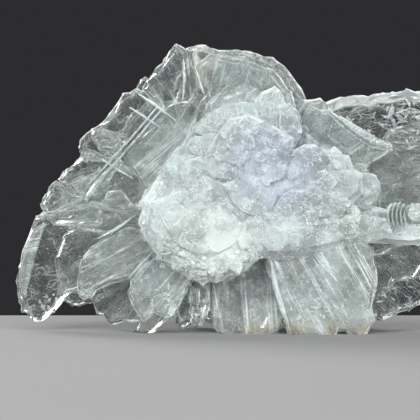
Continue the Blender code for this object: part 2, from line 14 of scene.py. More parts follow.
import bmesh
import bpy
from mathutils import Matrix, Vector, noise
from mathutils.bvhtree import BVHTree


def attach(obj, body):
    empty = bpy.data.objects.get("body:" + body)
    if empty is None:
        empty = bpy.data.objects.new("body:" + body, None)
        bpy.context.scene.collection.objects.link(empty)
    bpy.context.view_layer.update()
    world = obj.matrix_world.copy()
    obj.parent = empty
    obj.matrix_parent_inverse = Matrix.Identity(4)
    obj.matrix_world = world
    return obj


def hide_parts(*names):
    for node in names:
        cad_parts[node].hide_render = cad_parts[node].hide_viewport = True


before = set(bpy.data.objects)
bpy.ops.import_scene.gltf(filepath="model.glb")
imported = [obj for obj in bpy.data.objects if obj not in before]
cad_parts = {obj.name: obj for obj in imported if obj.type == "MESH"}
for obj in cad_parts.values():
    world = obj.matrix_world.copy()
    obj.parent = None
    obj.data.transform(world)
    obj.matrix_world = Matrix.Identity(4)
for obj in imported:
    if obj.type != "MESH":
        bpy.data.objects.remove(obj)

log = logging.getLogger("barite")
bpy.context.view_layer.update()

MM = 0.001
NODE = "barite_cluster"
BODY = "root"

# Sizes are in millimetres, but for the studio's. Outlines have this point at the frame's origin.
ORIGIN = Vector((-0.056, 0.215, 0.35))
HEART = (0.0, 24.0)             # (x, z) that the blades fan out from
HEART_REACH = 2.0               # a crystal whose middle is nearer to the heart grows upwards
RIM_SHARE = 0.34                # share of a blade's thickness that is left as its flat rim
CHISEL_END = 0.6                # the rim value where a blade's flat face begins
TERRACE_END = 0.9               # the rim value on the terraces before it
INNER_BAND = 0.4                # width of the border of a flat face, as a share of the chisel
FIRST_LATH = (0.4, 1.2)         # width of the first lath, as a share of the mean width
NEXT_LATH = (0.35, 1.7)         # width of each lath after it
LAST_LATH = 0.3                 # least width of the last one
LATH_TILT = 0.07                # how far a seam between laths may turn, in radians
SMALLEST_LATH = 0.6             # area that a strip needs for a groove round it
WIDE_BENDS = 0.55               # how closely the wide bends of a rim follow each other
SMALL_BENDS = 1.6               # how closely the small bends do, which are half as deep
BENDS_IN_DEPTH = 0.12           # share of the bends that a blade has in depth
NICKS = 5.0                     # nicks to the millimetre
FULL_THICKNESS = 2.0            # a thinner blade wanders less
SCALE_SEED = 11
SCALE_RADIUS = (1.5, 3.0)
SCALE_THICKNESS = 1.1
SCALE_SPACING = 0.62            # distance between two scales, as a share of their radii
FRONT_SCALES = 28
BACK_SCALES = 9
FLATNESS = 0.85                 # how squarely a face has to look outwards for a plate to lie on it
FOOT_CLEARANCE = 1.2            # height below which no small crystal grows
RAY_START = 0.05                # how far off the search for the outermost face starts, in metres
BARITE_IOR = 1.636
MILK_IOR = 1.3

Point = tuple[float, float]
Place = tuple[float, float, float]
Outline = list[Point]
Colour = tuple[float, float, float, float]


class Side(Enum):
    """The side of the cluster that something lies on, as the sign of its depth."""

    FRONT = -1
    BACK = 1


@dataclass(frozen=True)
class Blade:
    """One tabular crystal, in millimetres, seen from the front.

    Attributes:
        name: The crystal's own name.
        outline: Its corners as (x, z).
        depth: How deep its middle plane lies at the outline's centre.
        thick: Its thickness.
        swing: How much deeper its plane lies for each millimetre to the right.
        lean: How much deeper its plane lies for each millimetre up.
        chisel: How far the flat faces stand in from the rim.
        milk: How cloudy it is, from 0, clear, to 1.
        laths: Mean width of the strips that its faces are split in, or 0 for none.
        growth: Direction that it grew in, in degrees from +X, or None for straight out of the heart.
        terraces: Number of steps from its rim up to its flat face.
        facet: How milky the band between its rim and its flat face is.
        edge: How strong the painted highlight along its edges is.
    """

    name: str
    outline: Outline
    depth: float
    thick: float
    swing: float = 0.0
    lean: float = 0.0
    chisel: float = 0.7
    milk: float = 0.15
    laths: float = 0.0
    growth: float | None = None
    terraces: int = 1
    facet: float = 0.0
    edge: float = 1.0

    def centre(self) -> Point:
        """Returns the mean of the outline's corners."""
        count = len(self.outline)
        return sum(x for x, _ in self.outline) / count, sum(z for _, z in self.outline) / count

    def plane_depth(self, x: float, z: float) -> float:
        """Returns the depth of the middle plane at (x, z)."""
        cx, cz = self.centre()
        return self.depth + self.swing * (x - cx) + self.lean * (z - cz)

    def face_depth(self, x: float, z: float, side: Side) -> float:
        """Returns the depth of the front or back face at (x, z)."""
        return self.plane_depth(x, z) + side.value * self.thick / 2

    def covers(self, x: float, z: float, margin: float) -> bool:
        """Tells whether a cross of that margin lies inside the outline.

        Args:
            x: Place of the cross, to the right.
            z: Place of the cross, up.
            margin: Radius that has to fit.

        Returns:
            True if the middle and the four tips are inside.
        """
        arm = 0.8 * margin
        tips = ((0, 0), (arm, 0), (-arm, 0), (0, arm), (0, -arm))
        return all(self._inside(x + dx, z + dz) for dx, dz in tips)

    def _inside(self, x: float, z: float) -> bool:
        """Tells whether a point lies inside the outline.

        Args:
            x: Its place to the right.
            z: Its place up.

        Returns:
            True if a line from it to the right passes the outline an odd number of times.
        """
        found = False
        for (ax, az), (bx, bz) in zip(self.outline, self.outline[1:] + self.outline[:1]):
            if (az > z) != (bz > z) and x < (bx - ax) * (z - az) / (bz - az) + ax:
                found = not found
        return found

    def counter_clockwise(self) -> Outline:
        """Puts the corners in counter-clockwise order, seen from the front.

        Returns:
            The outline, turned round if its area comes out negative.
        """
        pairs = zip(self.outline, self.outline[1:] + self.outline[:1])
        area = sum(ax * bz - bx * az for (ax, az), (bx, bz) in pairs)
        return self.outline if area > 0 else self.outline[::-1]

    def growth_direction(self) -> Vector:
        """Finds the direction of growth, in the plane of the outline.

        Returns:
            The direction given, or else the way out of the heart, as a vector of length 1.
        """
        if self.growth is not None:
            turn = math.radians(self.growth)
            return Vector((math.cos(turn), math.sin(turn)))
        cx, cz = self.centre()
        out = Vector((cx - HEART[0], cz - HEART[1]))
        return out.normalized() if out.length > HEART_REACH else Vector((0.3, 1.0)).normalized()


class Wire:
    """One output socket of a material's nodes, which can be used in sums as a number can."""

    def __init__(self, nodes: "Nodes", socket: bpy.types.NodeSocket) -> None:
        """Keeps the socket and the node maker it belongs to."""
        self.nodes = nodes
        self.socket = socket

    def __add__(self, other: "Wire | float") -> "Wire":
        """Returns self + other."""
        return self.nodes.maths("ADD", self, other)

    def __radd__(self, other: float) -> "Wire":
        """Returns other + self."""
        return self.nodes.maths("ADD", other, self)

    def __sub__(self, other: "Wire | float") -> "Wire":
        """Returns self - other."""
        return self.nodes.maths("SUBTRACT", self, other)

    def __rsub__(self, other: float) -> "Wire":
        """Returns other - self."""
        return self.nodes.maths("SUBTRACT", other, self)

    def __mul__(self, other: "Wire | float") -> "Wire":
        """Returns self * other."""
        return self.nodes.maths("MULTIPLY", self, other)

    def __rmul__(self, other: float) -> "Wire":
        """Returns other * self."""
        return self.nodes.maths("MULTIPLY", other, self)

    def __truediv__(self, other: "Wire | float") -> "Wire":
        """Returns self / other."""
        return self.nodes.maths("DIVIDE", self, other)

    def __pow__(self, other: "Wire | float") -> "Wire":
        """Returns self to the power of other."""
        return self.nodes.maths("POWER", self, other)

    def clamp(self) -> "Wire":
        """Returns self kept between 0 and 1."""
        return self.nodes.maths("ADD", self, 0.0, clamp=True)

    def largest(self, other: "Wire | float") -> "Wire":
        """Returns the larger of self and other."""
        return self.nodes.maths("MAXIMUM", self, other)

    def size(self) -> "Wire":
        """Returns self without its sign."""
        return self.nodes.maths("ABSOLUTE", self)

    def root(self) -> "Wire":
        """Returns the square root of self."""
        return self.nodes.maths("SQRT", self)

    def ramp(self, low: float, high: float) -> "Wire":
        """Returns a smooth step of self.

        Args:
            low: Value that gives 0; it may be the larger of the two.
            high: Value that gives 1.

        Returns:
            The step, between 0 and 1.
        """
        start, end = sorted((low, high))
        step = self.nodes.make(
            "ShaderNodeMapRange", {"interpolation_type": "SMOOTHSTEP"},
            {"Value": self, "From Min": start, "From Max": end}, "Result")
        return step if high > low else 1.0 - step


class Nodes:
    """Makes the nodes of one material."""

    def __init__(self, name: str) -> None:
        """Starts a material with only an output node.

        Args:
            name: The material's name.
        """
        self.material = bpy.data.materials.new(name)
        self.material.use_nodes = True
        self.tree = self.material.node_tree
        self.tree.nodes.clear()
        self.output = self.tree.nodes.new("ShaderNodeOutputMaterial")

    def make(self, kind: str, settings: dict[str, object], inputs: dict[str | int, object],
             output: str | int = 0) -> Wire:
        """Adds one node.

        Args:
            kind: Blender's name of the node type.
            settings: Properties of the node, set before its sockets are read.
            inputs: Socket names or numbers, with a plain value or a wire for each.
            output: The output socket that is wanted, by name or number.

        Returns:
            That output.
        """
        node = self.tree.nodes.new(kind)
        for key, value in settings.items():
            setattr(node, key, value)
        for key, value in inputs.items():
            if isinstance(value, Wire):
                self.tree.links.new(value.socket, node.inputs[key])
            else:
                node.inputs[key].default_value = value
        return Wire(self, node.outputs[output])

    def maths(self, operation: str, *values: Wire | float, clamp: bool = False) -> Wire:
        """Returns a Math node's result for these values."""
        return self.make("ShaderNodeMath", {"operation": operation, "use_clamp": clamp},
                         dict(enumerate(values)))

    def blend(self, share: Wire, first: Wire | Colour, second: Wire | Colour) -> Wire:
        """Returns a colour between two, by a share from 0 to 1."""
        return self.make("ShaderNodeMix", {"data_type": "RGBA"}, {0: share, 6: first, 7: second}, 2)

    def noise(self, place: Wire, scale: float, detail: float) -> Wire:
        """Returns soft noise round 0.5, with scale as its patches to the millimetre."""
        return self.make("ShaderNodeTexNoise", {}, {
            "Vector": place, "Scale": scale, "Detail": detail, "Roughness": 0.6}, "Fac")

    def dress(self, shader: Wire) -> bpy.types.Material:
        """Makes a shader the material's surface and returns the material."""
        self.tree.links.new(shader.socket, self.output.inputs["Surface"])
        return self.material


class Heap:
    """One mesh that closed shells are added to, with the values that the finishes read.

    The points carry milk, how cloudy they are; rim, 1 on a rim and 0 on a flat face; facet, how milky the
    band between the two is; and edge, how strong the painted highlight on the edges is. The map growth runs
    along the growth.
    """

    VALUES = ("milk", "rim", "facet", "edge")

    def __init__(self) -> None:
        """Starts an empty heap."""
        self.mesh = self.start()

    def start(self) -> bmesh.types.BMesh:
        """Starts the mesh of one shell.

        Returns:
            An empty mesh with the values and the map.
        """
        bm = bmesh.new()
        for name in self.VALUES:
            bm.verts.layers.float.new(name)
        bm.loops.layers.uv.new("growth")
        return bm

    def add(self, bm: bmesh.types.BMesh) -> None:
        """Adds a shell.

        Args:
            bm: The shell in millimetres, which is freed.
        """
        bmesh.ops.scale(bm, verts=bm.verts[:], vec=(MM, MM, MM))
        bmesh.ops.recalc_face_normals(bm, faces=bm.faces[:])
        shell = bpy.data.meshes.new("shell")
        bm.to_mesh(shell)
        bm.free()
        self.mesh.from_mesh(shell)
        bpy.data.meshes.remove(shell)

    def finish(self, name: str, material: bpy.types.Material) -> bpy.types.Object:
        """Makes one piece of the heap, which rides on the cluster's body and stands for its solid.

        Args:
            name: The piece's name.
            material: Its material.

        Returns:
            The piece, at the origin.
        """
        mesh = bpy.data.meshes.new(name)
        self.mesh.to_mesh(mesh)
        self.mesh.free()
        mesh.materials.append(material)
        piece = bpy.data.objects.new(name, mesh)
        bpy.context.scene.collection.objects.link(piece)
        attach(piece, BODY)
        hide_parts(NODE)
        log.info("%s: %d triangles", name, sum(len(face.vertices) - 2 for face in mesh.polygons))
        return piece


@dataclass
class Grower:
    """Grows blades on a heap, each a closed shell.

    Attributes:
        step: Longest stretch of rim between two points, in millimetres.
        wander: How far the rim strays from its outline.
        nick: How rough the rim is.
        groove: Width of the groove between two laths.
        lath_rise: Highest step of a lath over its neighbours.
        seed: Start of the random numbers.
        heap: Where the blades go.
        rng: The random numbers.
    """

    step: float = 0.7
    wander: float = 0.26
    nick: float = 0.13
    groove: float = 0.05
    lath_rise: float = 0.06
    seed: int = 5
    heap: Heap = field(default_factory=Heap)
    rng: random.Random = field(init=False)

    def __post_init__(self) -> None:
        """Starts the random numbers and fixes where the noise lies."""
        self.rng = random.Random(self.seed)
        noise.seed_set(self.seed)

    def grow(self, blade: Blade) -> None:
        """Adds one blade to the heap.

        Args:
            blade: The crystal to add.
        """
        bm = self.heap.start()
        rim_value = bm.verts.layers.float["rim"]
        front, back = self._slab(bm, blade)
        for vert in bm.verts:
            vert[rim_value] = 1.0
        rise = blade.thick * (1 - RIM_SHARE) / 2
        for cap in (front, back):
            for level in range(blade.terraces):
                self._step_in(bm, cap, blade.chisel / blade.terraces, rise / blade.terraces)
                self._mark(cap, rim_value, CHISEL_END if level == blade.terraces - 1 else TERRACE_END)
            self._step_in(bm, cap, INNER_BAND * blade.chisel, 0.0)
            self._mark(cap, rim_value, 0.0)
        for edge in bm.edges[:]:
            cuts = int(edge.calc_length() / self.step)
            if cuts:
                bmesh.ops.bisect_edges(bm, edges=[edge], cuts=cuts)
        if blade.laths:
            self._split_in_laths(bm, front, blade)
            self._split_in_laths(bm, back, blade)
        self._roughen(bm, blade)
        bmesh.ops.translate(bm, verts=bm.verts[:], vec=-ORIGIN)
        self._break_foot(bm)
        self._map_growth(bm, blade)
        self.heap.add(bm)

    def _slab(self, bm: bmesh.types.BMesh, blade: Blade) -> tuple[bmesh.types.BMFace, bmesh.types.BMFace]:
        """Makes the blade's outline a slab as thick as its rim.

        Args:
            bm: An empty mesh.
            blade: The crystal.

        Returns:
            The front and the back face.
        """
        outline = blade.counter_clockwise()
        back = bm.faces.new([bm.verts.new((x, blade.plane_depth(x, z), z)) for x, z in outline])
        made = bmesh.ops.extrude_face_region(bm, geom=[back])["geom"]
        front = next(f for f in made if isinstance(f, bmesh.types.BMFace))
        toward_front = Vector((blade.swing, -1.0, blade.lean)).normalized() * (blade.thick * RIM_SHARE / 2)
        bmesh.ops.translate(bm, verts=front.verts[:], vec=toward_front)
        bmesh.ops.translate(bm, verts=back.verts[:], vec=-toward_front)
        bmesh.ops.recalc_face_normals(bm, faces=bm.faces[:])
        return front, back

    @staticmethod
    def _step_in(bm: bmesh.types.BMesh, cap: bmesh.types.BMFace, width: float, rise: float) -> None:
        """Sets a flat face in from its border and raises it."""
        bmesh.ops.inset_region(bm, faces=[cap], thickness=width, depth=rise, use_even_offset=True)

    @staticmethod
    def _mark(cap: bmesh.types.BMFace, layer: bmesh.types.BMLayerItem, value: float) -> None:
        """Writes a value on the corners of a face."""
        for vert in cap.verts:
            vert[layer] = value

    def _split_in_laths(self, bm: bmesh.types.BMesh, cap: bmesh.types.BMFace, blade: Blade) -> None:
        """Splits a flat face in strips along the growth, with a groove round each.

        Args:
            bm: The blade's mesh.
            cap: The flat face.
            blade: The crystal, for the width of its laths.
        """
        along = blade.growth_direction()
        across = Vector((-along.y, 0.0, along.x))
        middle = cap.calc_center_median()
        reach = [(v.co - middle).dot(across) for v in cap.verts]
        laths = [cap]
        at = min(reach) + blade.laths * self.rng.uniform(*FIRST_LATH)
        while at < max(reach) - LAST_LATH * blade.laths:
            parts = laths + [edge for face in laths for edge in face.edges]
            parts = dict.fromkeys(parts + [vert for face in laths for vert in face.verts])
            tilted = Matrix.Rotation(self.rng.uniform(-LATH_TILT, LATH_TILT), 3, "Y") @ across
            split = bmesh.ops.bisect_plane(
                bm, geom=list(parts), plane_co=middle + across * at, plane_no=tilted)
            laths = [part for part in split["geom"] if isinstance(part, bmesh.types.BMFace)]
            at += blade.laths * self.rng.uniform(*NEXT_LATH)
        for lath in sorted(laths, key=lambda strip: strip.calc_center_median().dot(across)):
            if lath.calc_area() > SMALLEST_LATH:
                bmesh.ops.inset_individual(
                    bm, faces=[lath], thickness=self.groove, depth=self.rng.uniform(0.0, self.lath_rise))

    def _roughen(self, bm: bmesh.types.BMesh, blade: Blade) -> None:
        """Lets the blade wander from its outline, nicks its rim and writes its own values.

        Args:
            bm: The blade's mesh.
            blade: The crystal.
        """
        rim_value = bm.verts.layers.float["rim"]
        own = {name: bm.verts.layers.float[name] for name in ("milk", "facet", "edge")}
        away = Vector((self.rng.uniform(-50, 50), 0.0, self.rng.uniform(-50, 50)))
        size = min(1.0, blade.thick / FULL_THICKNESS)
        for vert in bm.verts:
            for name, layer in own.items():
                vert[layer] = getattr(blade, name)
            stray = noise.noise_vector((vert.co + away) * WIDE_BENDS) * self.wander
            stray += noise.noise_vector((vert.co - away) * SMALL_BENDS) * self.wander * 0.5
            stray.y *= BENDS_IN_DEPTH
            vert.co += stray * size
            if vert[rim_value] > 0.5:
                rough = 2.0 * noise.cell_vector((vert.co + away) * NICKS) - Vector((1.0, 1.0, 1.0))
                rough.y *= 0.5
                vert.co += rough * self.nick * size

    @staticmethod
    def _break_foot(bm: bmesh.types.BMesh) -> None:
        """Cuts off what reaches below the plane that the cluster stands on.

        Args:
            bm: The blade's mesh, in its place.
        """
        parts = bm.verts[:] + bm.edges[:] + bm.faces[:]
        bmesh.ops.bisect_plane(bm, geom=parts, plane_co=(0, 0, 0), plane_no=(0, 0, 1), clear_inner=True)
        open_edges = [e for e in bm.edges if e.is_boundary]
        if open_edges:
            bmesh.ops.contextual_create(bm, geom=open_edges)

    def _map_growth(self, bm: bmesh.types.BMesh, blade: Blade) -> None:
        """Lays the growth map: u runs along the growth and v across it, in millimetres.

        Args:
            bm: The blade's mesh, in its place.
            blade: The crystal.
        """
        along = blade.growth_direction()
        start = Vector((self.rng.uniform(0, 90), self.rng.uniform(0, 90)))
        layer = bm.loops.layers.uv["growth"]
        for face in bm.faces:
            for loop in face.loops:
                x, y, z = loop.vert.co
                across = z * along.x - x * along.y + 0.8 * y
                loop[layer].uv = start + Vector((x * along.x + z * along.y, across))


@dataclass(frozen=True)
class BariteFinish:
    """Barite from clear to milky: glassy where it is clear, with veils, streaks, cracks and stains, and
    painted highlights along its rims.

    Attributes:
        name: The material's name.
        milk_gain: How strongly a blade's own milk counts.
        glow: Strength of the milk that gathers towards the heart.
        veil: Strength of the clouds.
        streak: Strength of the streaks along the growth.
        dash: Strength of the short thin strokes.
        crack: Strength of the bright hair cracks.
        crinkle: Strength of the net of fine curly lines.
        grain: Strength of the fine grain.
        rim: Strength of the painted highlight along the rims.
        speck: Strength of the dark specks.
        clear_roughness: Roughness of the clear faces.
        milk_roughness: Roughness of the milky parts.
        milk_passes: Share of the light that passes through the milky parts.
        ripple: Strength of the faces' fine relief.
        clear_tint: Tint of the clear parts.
        frost_and_highlight: Colour of the lines and cracks, and of the painted highlights along the edges.
        white: Colour of the milk.
        bright: Colour of the milk low on the left of the heart.
        lilac: Colour of the milk in the heart.
        green: Colour of the milk in patches.
        cream: Colour of the milk at the top.
        rust: Colour of the specks.
        stain: Colour of the stain at the foot.
    """

    name: str
    milk_gain: float = 0.38
    glow: float = 0.20
    veil: float = 0.23
    streak: float = 0.75
    dash: float = 0.3
    crack: float = 0.45
    crinkle: float = 0.22
    grain: float = 0.22
    rim: float = 0.6
    speck: float = 0.0
    clear_roughness: float = 0.05
    milk_roughness: float = 0.55
    milk_passes: float = 0.4
    ripple: float = 0.02
    clear_tint: Colour = (0.84, 0.87, 0.855, 1.0)
    frost_and_highlight: Colour = (0.93, 0.985, 0.96, 1.0)
    white: Colour = (0.76, 0.835, 0.835, 1.0)
    bright: Colour = (0.90, 0.96, 0.95, 1.0)
    lilac: Colour = (0.58, 0.655, 0.80, 1.0)
    green: Colour = (0.58, 0.70, 0.69, 1.0)
    cream: Colour = (0.90, 0.88, 0.78, 1.0)
    rust: Colour = (0.16, 0.09, 0.06, 1.0)
    stain: Colour = (0.62, 0.53, 0.34, 1.0)

    def make(self) -> bpy.types.Material:
        """Makes the material: clear barite where its share of milk is 0, and milky where it is 1.

        Returns:
            The material.
        """
        n = Nodes(self.name)
        place = n.make("ShaderNodeTexCoord", {}, {}, "Object")
        place = n.make("ShaderNodeVectorMath", {"operation": "SCALE"}, {0: place, "Scale": 1 / MM})
        x, z = (n.make("ShaderNodeSeparateXYZ", {}, {0: place}, axis) for axis in "XZ")
        growth = n.make("ShaderNodeUVMap", {"uv_map": "growth"}, {})
        milk, rim, facet, edge = (
            n.make("ShaderNodeAttribute", {"attribute_name": name}, {}, "Fac")
            for name in ("milk", "rim", "facet", "edge"))

        cloud = n.noise(place, 0.13, 3.0)
        patch = n.noise(place, 0.40, 2.0)
        grain = n.noise(place, 2.4, 1.0)
        streaks = self._streaks(n, growth)
        dashes = self._dashes(n, growth) * patch.ramp(0.38, 0.60)
        # Painted highlights along the rims and the inner edges of the chisels.
        edges = self._painted_rim_highlights(rim, patch) * edge
        crinkles = self._crinkles(n, place, patch)
        cracks = self._cracks(n, growth, patch)
        specks = self._specks(n, growth) * self.speck

        glow = self._oval(x, z, (0.0, 21.0), (30.0, 21.0)).ramp(1.0, 0.35)
        clouds = cloud.ramp(0.38, 0.66) * (0.35 + 0.65 * patch.ramp(0.40, 0.62))
        share = milk * self.milk_gain * (0.5 + 0.8 * cloud.ramp(0.34, 0.68))
        share = share + glow * self.glow * (0.6 + 0.8 * patch.ramp(0.35, 0.65))
        share = share + clouds * self.veil * (0.15 + 2.6 * milk)
        share = share + rim.ramp(0.05, 0.5) * facet
        share = share + streaks * self.streak * (0.1 + 1.4 * milk)
        share = share + grain.ramp(0.50, 0.70) * self.grain * (0.15 + milk)
        share = share + crinkles * self.crinkle * (0.3 + milk)
        # The painted rim highlights whiten the surface here.
        share = share + edges * self.rim
        share = share.largest(cracks * self.crack).largest(dashes * self.dash)
        share = share.largest(specks).clamp()

        lines = (crinkles * 0.9).largest(cracks).largest(edges)
        lines = lines.largest(streaks * self.streak * 0.7).largest(dashes)
        stain = z.ramp(3.4, 0.6) * patch.ramp(0.42, 0.6) * 0.75
        colour = self._milk_colour(n, x, z, cloud, patch)
        # Lines, cracks and the painted rim highlights take the pale frosty colour.
        colour = n.blend(lines.clamp(), colour, self.frost_and_highlight)
        colour = n.blend(stain, colour, self.stain)
        colour = n.blend(specks, colour, self.rust)
        relief = self._ripple(n, place, growth)
        clear = n.make("ShaderNodeBsdfPrincipled", {}, {
            "Base Color": self.clear_tint, "Roughness": self.clear_roughness, "IOR": BARITE_IOR,
            "Transmission Weight": 1.0, "Normal": relief})
        milky = n.make("ShaderNodeBsdfPrincipled", {}, {
            "Base Color": colour, "Roughness": self.milk_roughness, "IOR": MILK_IOR,
            "Transmission Weight": self.milk_passes, "Normal": relief})
        return n.dress(n.make("ShaderNodeMixShader", {}, {0: share, 1: clear, 2: milky}))

    @staticmethod
    def _oval(x: Wire, z: Wire, centre: Point, radii: Point) -> Wire:
        """Measures how far a place is from the middle of an oval.

        Args:
            x: Its place to the right.
            z: Its place up.
            centre: The oval's middle.
            radii: Half the oval's width and height.

        Returns:
            The distance, 1 on the oval itself.
        """
        return (((x - centre[0]) / radii[0]) ** 2.0 + ((z - centre[1]) / radii[1]) ** 2.0).root()

    @staticmethod
    def _strokes(n: Nodes, growth: Wire, turn: float, scale: Point, detail: float) -> Wire:
        """Draws flat noise out in strokes.

        Args:
            n: The node maker.
            growth: The growth map.
            turn: Direction of the strokes from the growth, in degrees.
            scale: Strokes to the millimetre, along them and across them.
            detail: Octaves of the noise.

        Returns:
            The noise, round 0.5.
        """
        place = n.make("ShaderNodeMapping", {}, {
            "Vector": growth, "Rotation": (0.0, 0.0, math.radians(turn)), "Scale": (*scale, 1.0)})
        return n.make("ShaderNodeTexNoise", {"noise_dimensions": "2D"}, {
            "Vector": place, "Scale": 1.0, "Detail": detail, "Roughness": 0.6}, "Fac")

    @classmethod
    def _streaks(cls, n: Nodes, growth: Wire) -> Wire:
        """Draws the milky streaks, long along the growth and thin across it.

        Args:
            n: The node maker.
            growth: The growth map.

        Returns:
            Their strength, from 0 to a little over 1.
        """
        wide = cls._strokes(n, growth, 0, (0.05, 0.75), 3.0)
        thin = cls._strokes(n, growth, 0, (0.16, 3.4), 1.0)
        return wide.ramp(0.46, 0.68) * (0.15 + thin.ramp(0.42, 0.66))

    @classmethod
    def _dashes(cls, n: Nodes, growth: Wire) -> Wire:
        """Draws sparse short bright strokes: most lie along the growth, some across it.

        Args:
            n: The node maker.
            growth: The growth map.

        Returns:
            Their strength, from 0 to 1.
        """
        along = cls._strokes(n, growth, 4, (0.55, 4.6), 0.0).ramp(0.66, 0.76)
        slanting = cls._strokes(n, growth, 38, (0.9, 4.4), 0.0).ramp(0.68, 0.78)
        across = cls._strokes(n, growth, -65, (0.8, 4.4), 0.0).ramp(0.70, 0.80)
        return along.largest(slanting).largest(across)

    @staticmethod
    def _painted_rim_highlights(rim: Wire, patch: Wire) -> Wire:
        """Draws the painted highlights: bright lines along the rim and along the inner edge of its chisel.

        Args:
            rim: 1 on the rim and 0 on a flat face.
            patch: Noise that breaks the lines up.

        Returns:
            Their strength, from 0 to 1.2.
        """
        outer = rim.ramp(0.90, 0.995) * (0.2 + patch.ramp(0.36, 0.58))
        inner = (rim - 0.57).size().ramp(0.09, 0.02) * patch.ramp(0.40, 0.60)
        return outer + inner * 0.6

    @staticmethod
    def _crinkles(n: Nodes, place: Wire, patch: Wire) -> Wire:
        """Draws thin curly lines, where soft noise passes its middle.

        Args:
            n: The node maker.
            place: The place, in millimetres.
            patch: Noise that keeps the finest lines in patches.

        Returns:
            Their strength, from 0 to 1.45.
        """
        wide = (n.noise(place, 0.50, 3.0) - 0.5).size().ramp(0.016, 0.002)
        fine = (n.noise(place, 1.30, 2.0) - 0.5).size().ramp(0.030, 0.005)
        return wide + fine * 0.45 * patch.ramp(0.50, 0.62)

    @staticmethod
    def _cracks(n: Nodes, growth: Wire, patch: Wire) -> Wire:
        """Draws bright hair cracks, the borders of bent cells.

        Args:
            n: The node maker.
            growth: The growth map.
            patch: Noise that breaks the cracks up.

        Returns:
            Their strength, from 0 to 1.
        """
        warp = n.make("ShaderNodeTexNoise", {"noise_dimensions": "2D"},
                      {"Vector": growth, "Scale": 0.5, "Detail": 1.0}, "Color")
        bent = n.make("ShaderNodeVectorMath", {"operation": "MULTIPLY_ADD"},
                      {0: warp, 1: (2.4, 2.4, 0.0), 2: growth})
        border = n.make("ShaderNodeTexVoronoi", {"feature": "DISTANCE_TO_EDGE", "voronoi_dimensions": "2D"},
                        {"Vector": bent, "Scale": 0.36}, "Distance")
        return border.ramp(0.036, 0.004) * patch.ramp(0.42, 0.54)

    @staticmethod
    def _specks(n: Nodes, growth: Wire) -> Wire:
        """Draws the few dark rusty specks.

        Args:
            n: The node maker.
            growth: The growth map.

        Returns:
            1 on a speck and 0 elsewhere.
        """
        near = n.make("ShaderNodeTexVoronoi", {"feature": "F1", "voronoi_dimensions": "2D"},
                      {"Vector": growth, "Scale": 0.24}, "Distance")
        return near.ramp(0.030, 0.018)

    def _milk_colour(self, n: Nodes, x: Wire, z: Wire, cloud: Wire, patch: Wire) -> Wire:
        """Colours the milk: white, greenish in patches, bright low left, lilac in the heart, cream on top.

        Args:
            n: The node maker.
            x: The place to the right, in millimetres.
            z: The place up.
            cloud: Wide noise.
            patch: Noise in smaller patches.

        Returns:
            The colour.
        """
        low_left = self._oval(x, z, (-6.0, 15.5), (10.0, 8.0)).ramp(1.2, 0.3)
        heart = self._oval(x, z, (5.0, 28.0), (11.0, 10.0)).ramp(1.2, 0.3)
        top = self._oval(x, z, (-7.6, 45.0), (3.0, 4.0)).ramp(1.2, 0.3)
        colour = n.blend(patch.ramp(0.40, 0.60) * cloud.ramp(0.40, 0.6), self.white, self.green)
        colour = n.blend(low_left * 0.85, colour, self.bright)
        colour = n.blend(heart * (0.5 + 0.5 * patch.ramp(0.35, 0.6)), colour, self.lilac)
        return n.blend(top * 0.7, colour, self.cream)

    def _ripple(self, n: Nodes, place: Wire, growth: Wire) -> Wire:
        """Makes the faces' fine relief: striations along the growth and small dents.

        Args:
            n: The node maker.
            place: The place, in millimetres.
            growth: The growth map.

        Returns:
            The bent normal.
        """
        striae = self._strokes(n, growth, 0, (0.10, 3.2), 1.0)
        dents = n.noise(place, 1.1, 2.0)
        return n.make("ShaderNodeBump", {}, {
            "Strength": self.ripple, "Distance": 0.5 * MM, "Height": striae * 0.5 + dents * 0.5}, "Normal")


CLEAR = BariteFinish("barite_clear")
CLOUDED = BariteFinish("barite_clouded", milk_gain=0.6, veil=0.08, streak=0.45, dash=0.3)
MILKY = BariteFinish(
    "barite_milky", milk_gain=1.0, glow=0.12, veil=0.09, streak=0.12, dash=0.4, crinkle=0.7, grain=0.05,
    crack=1.0, rim=0.7, speck=1.0, milk_passes=0.5, ripple=0.05)


@dataclass
class BladeGroup:
    """Blades that stand together as one piece.

    Attributes:
        name: The piece's name.
        finish: The finish of its crystals.
        seed: Start of its random numbers.
        blades: Its crystals.
        wander: How far their rims stray from their outlines.
    """

    name: str
    finish: BariteFinish
    seed: int
    blades: list[Blade]
    wander: float = 0.26

    def build(self, materials: dict[str, bpy.types.Material]) -> bpy.types.Object:
        """Grows the blades and dresses them.

        Args:
            materials: The materials by name.

        Returns:
            The piece.
        """
        grower = Grower(seed=self.seed, wander=self.wander)
        for blade in self.blades:
            grower.grow(blade)
        return grower.heap.finish(self.name, materials[self.finish.name])


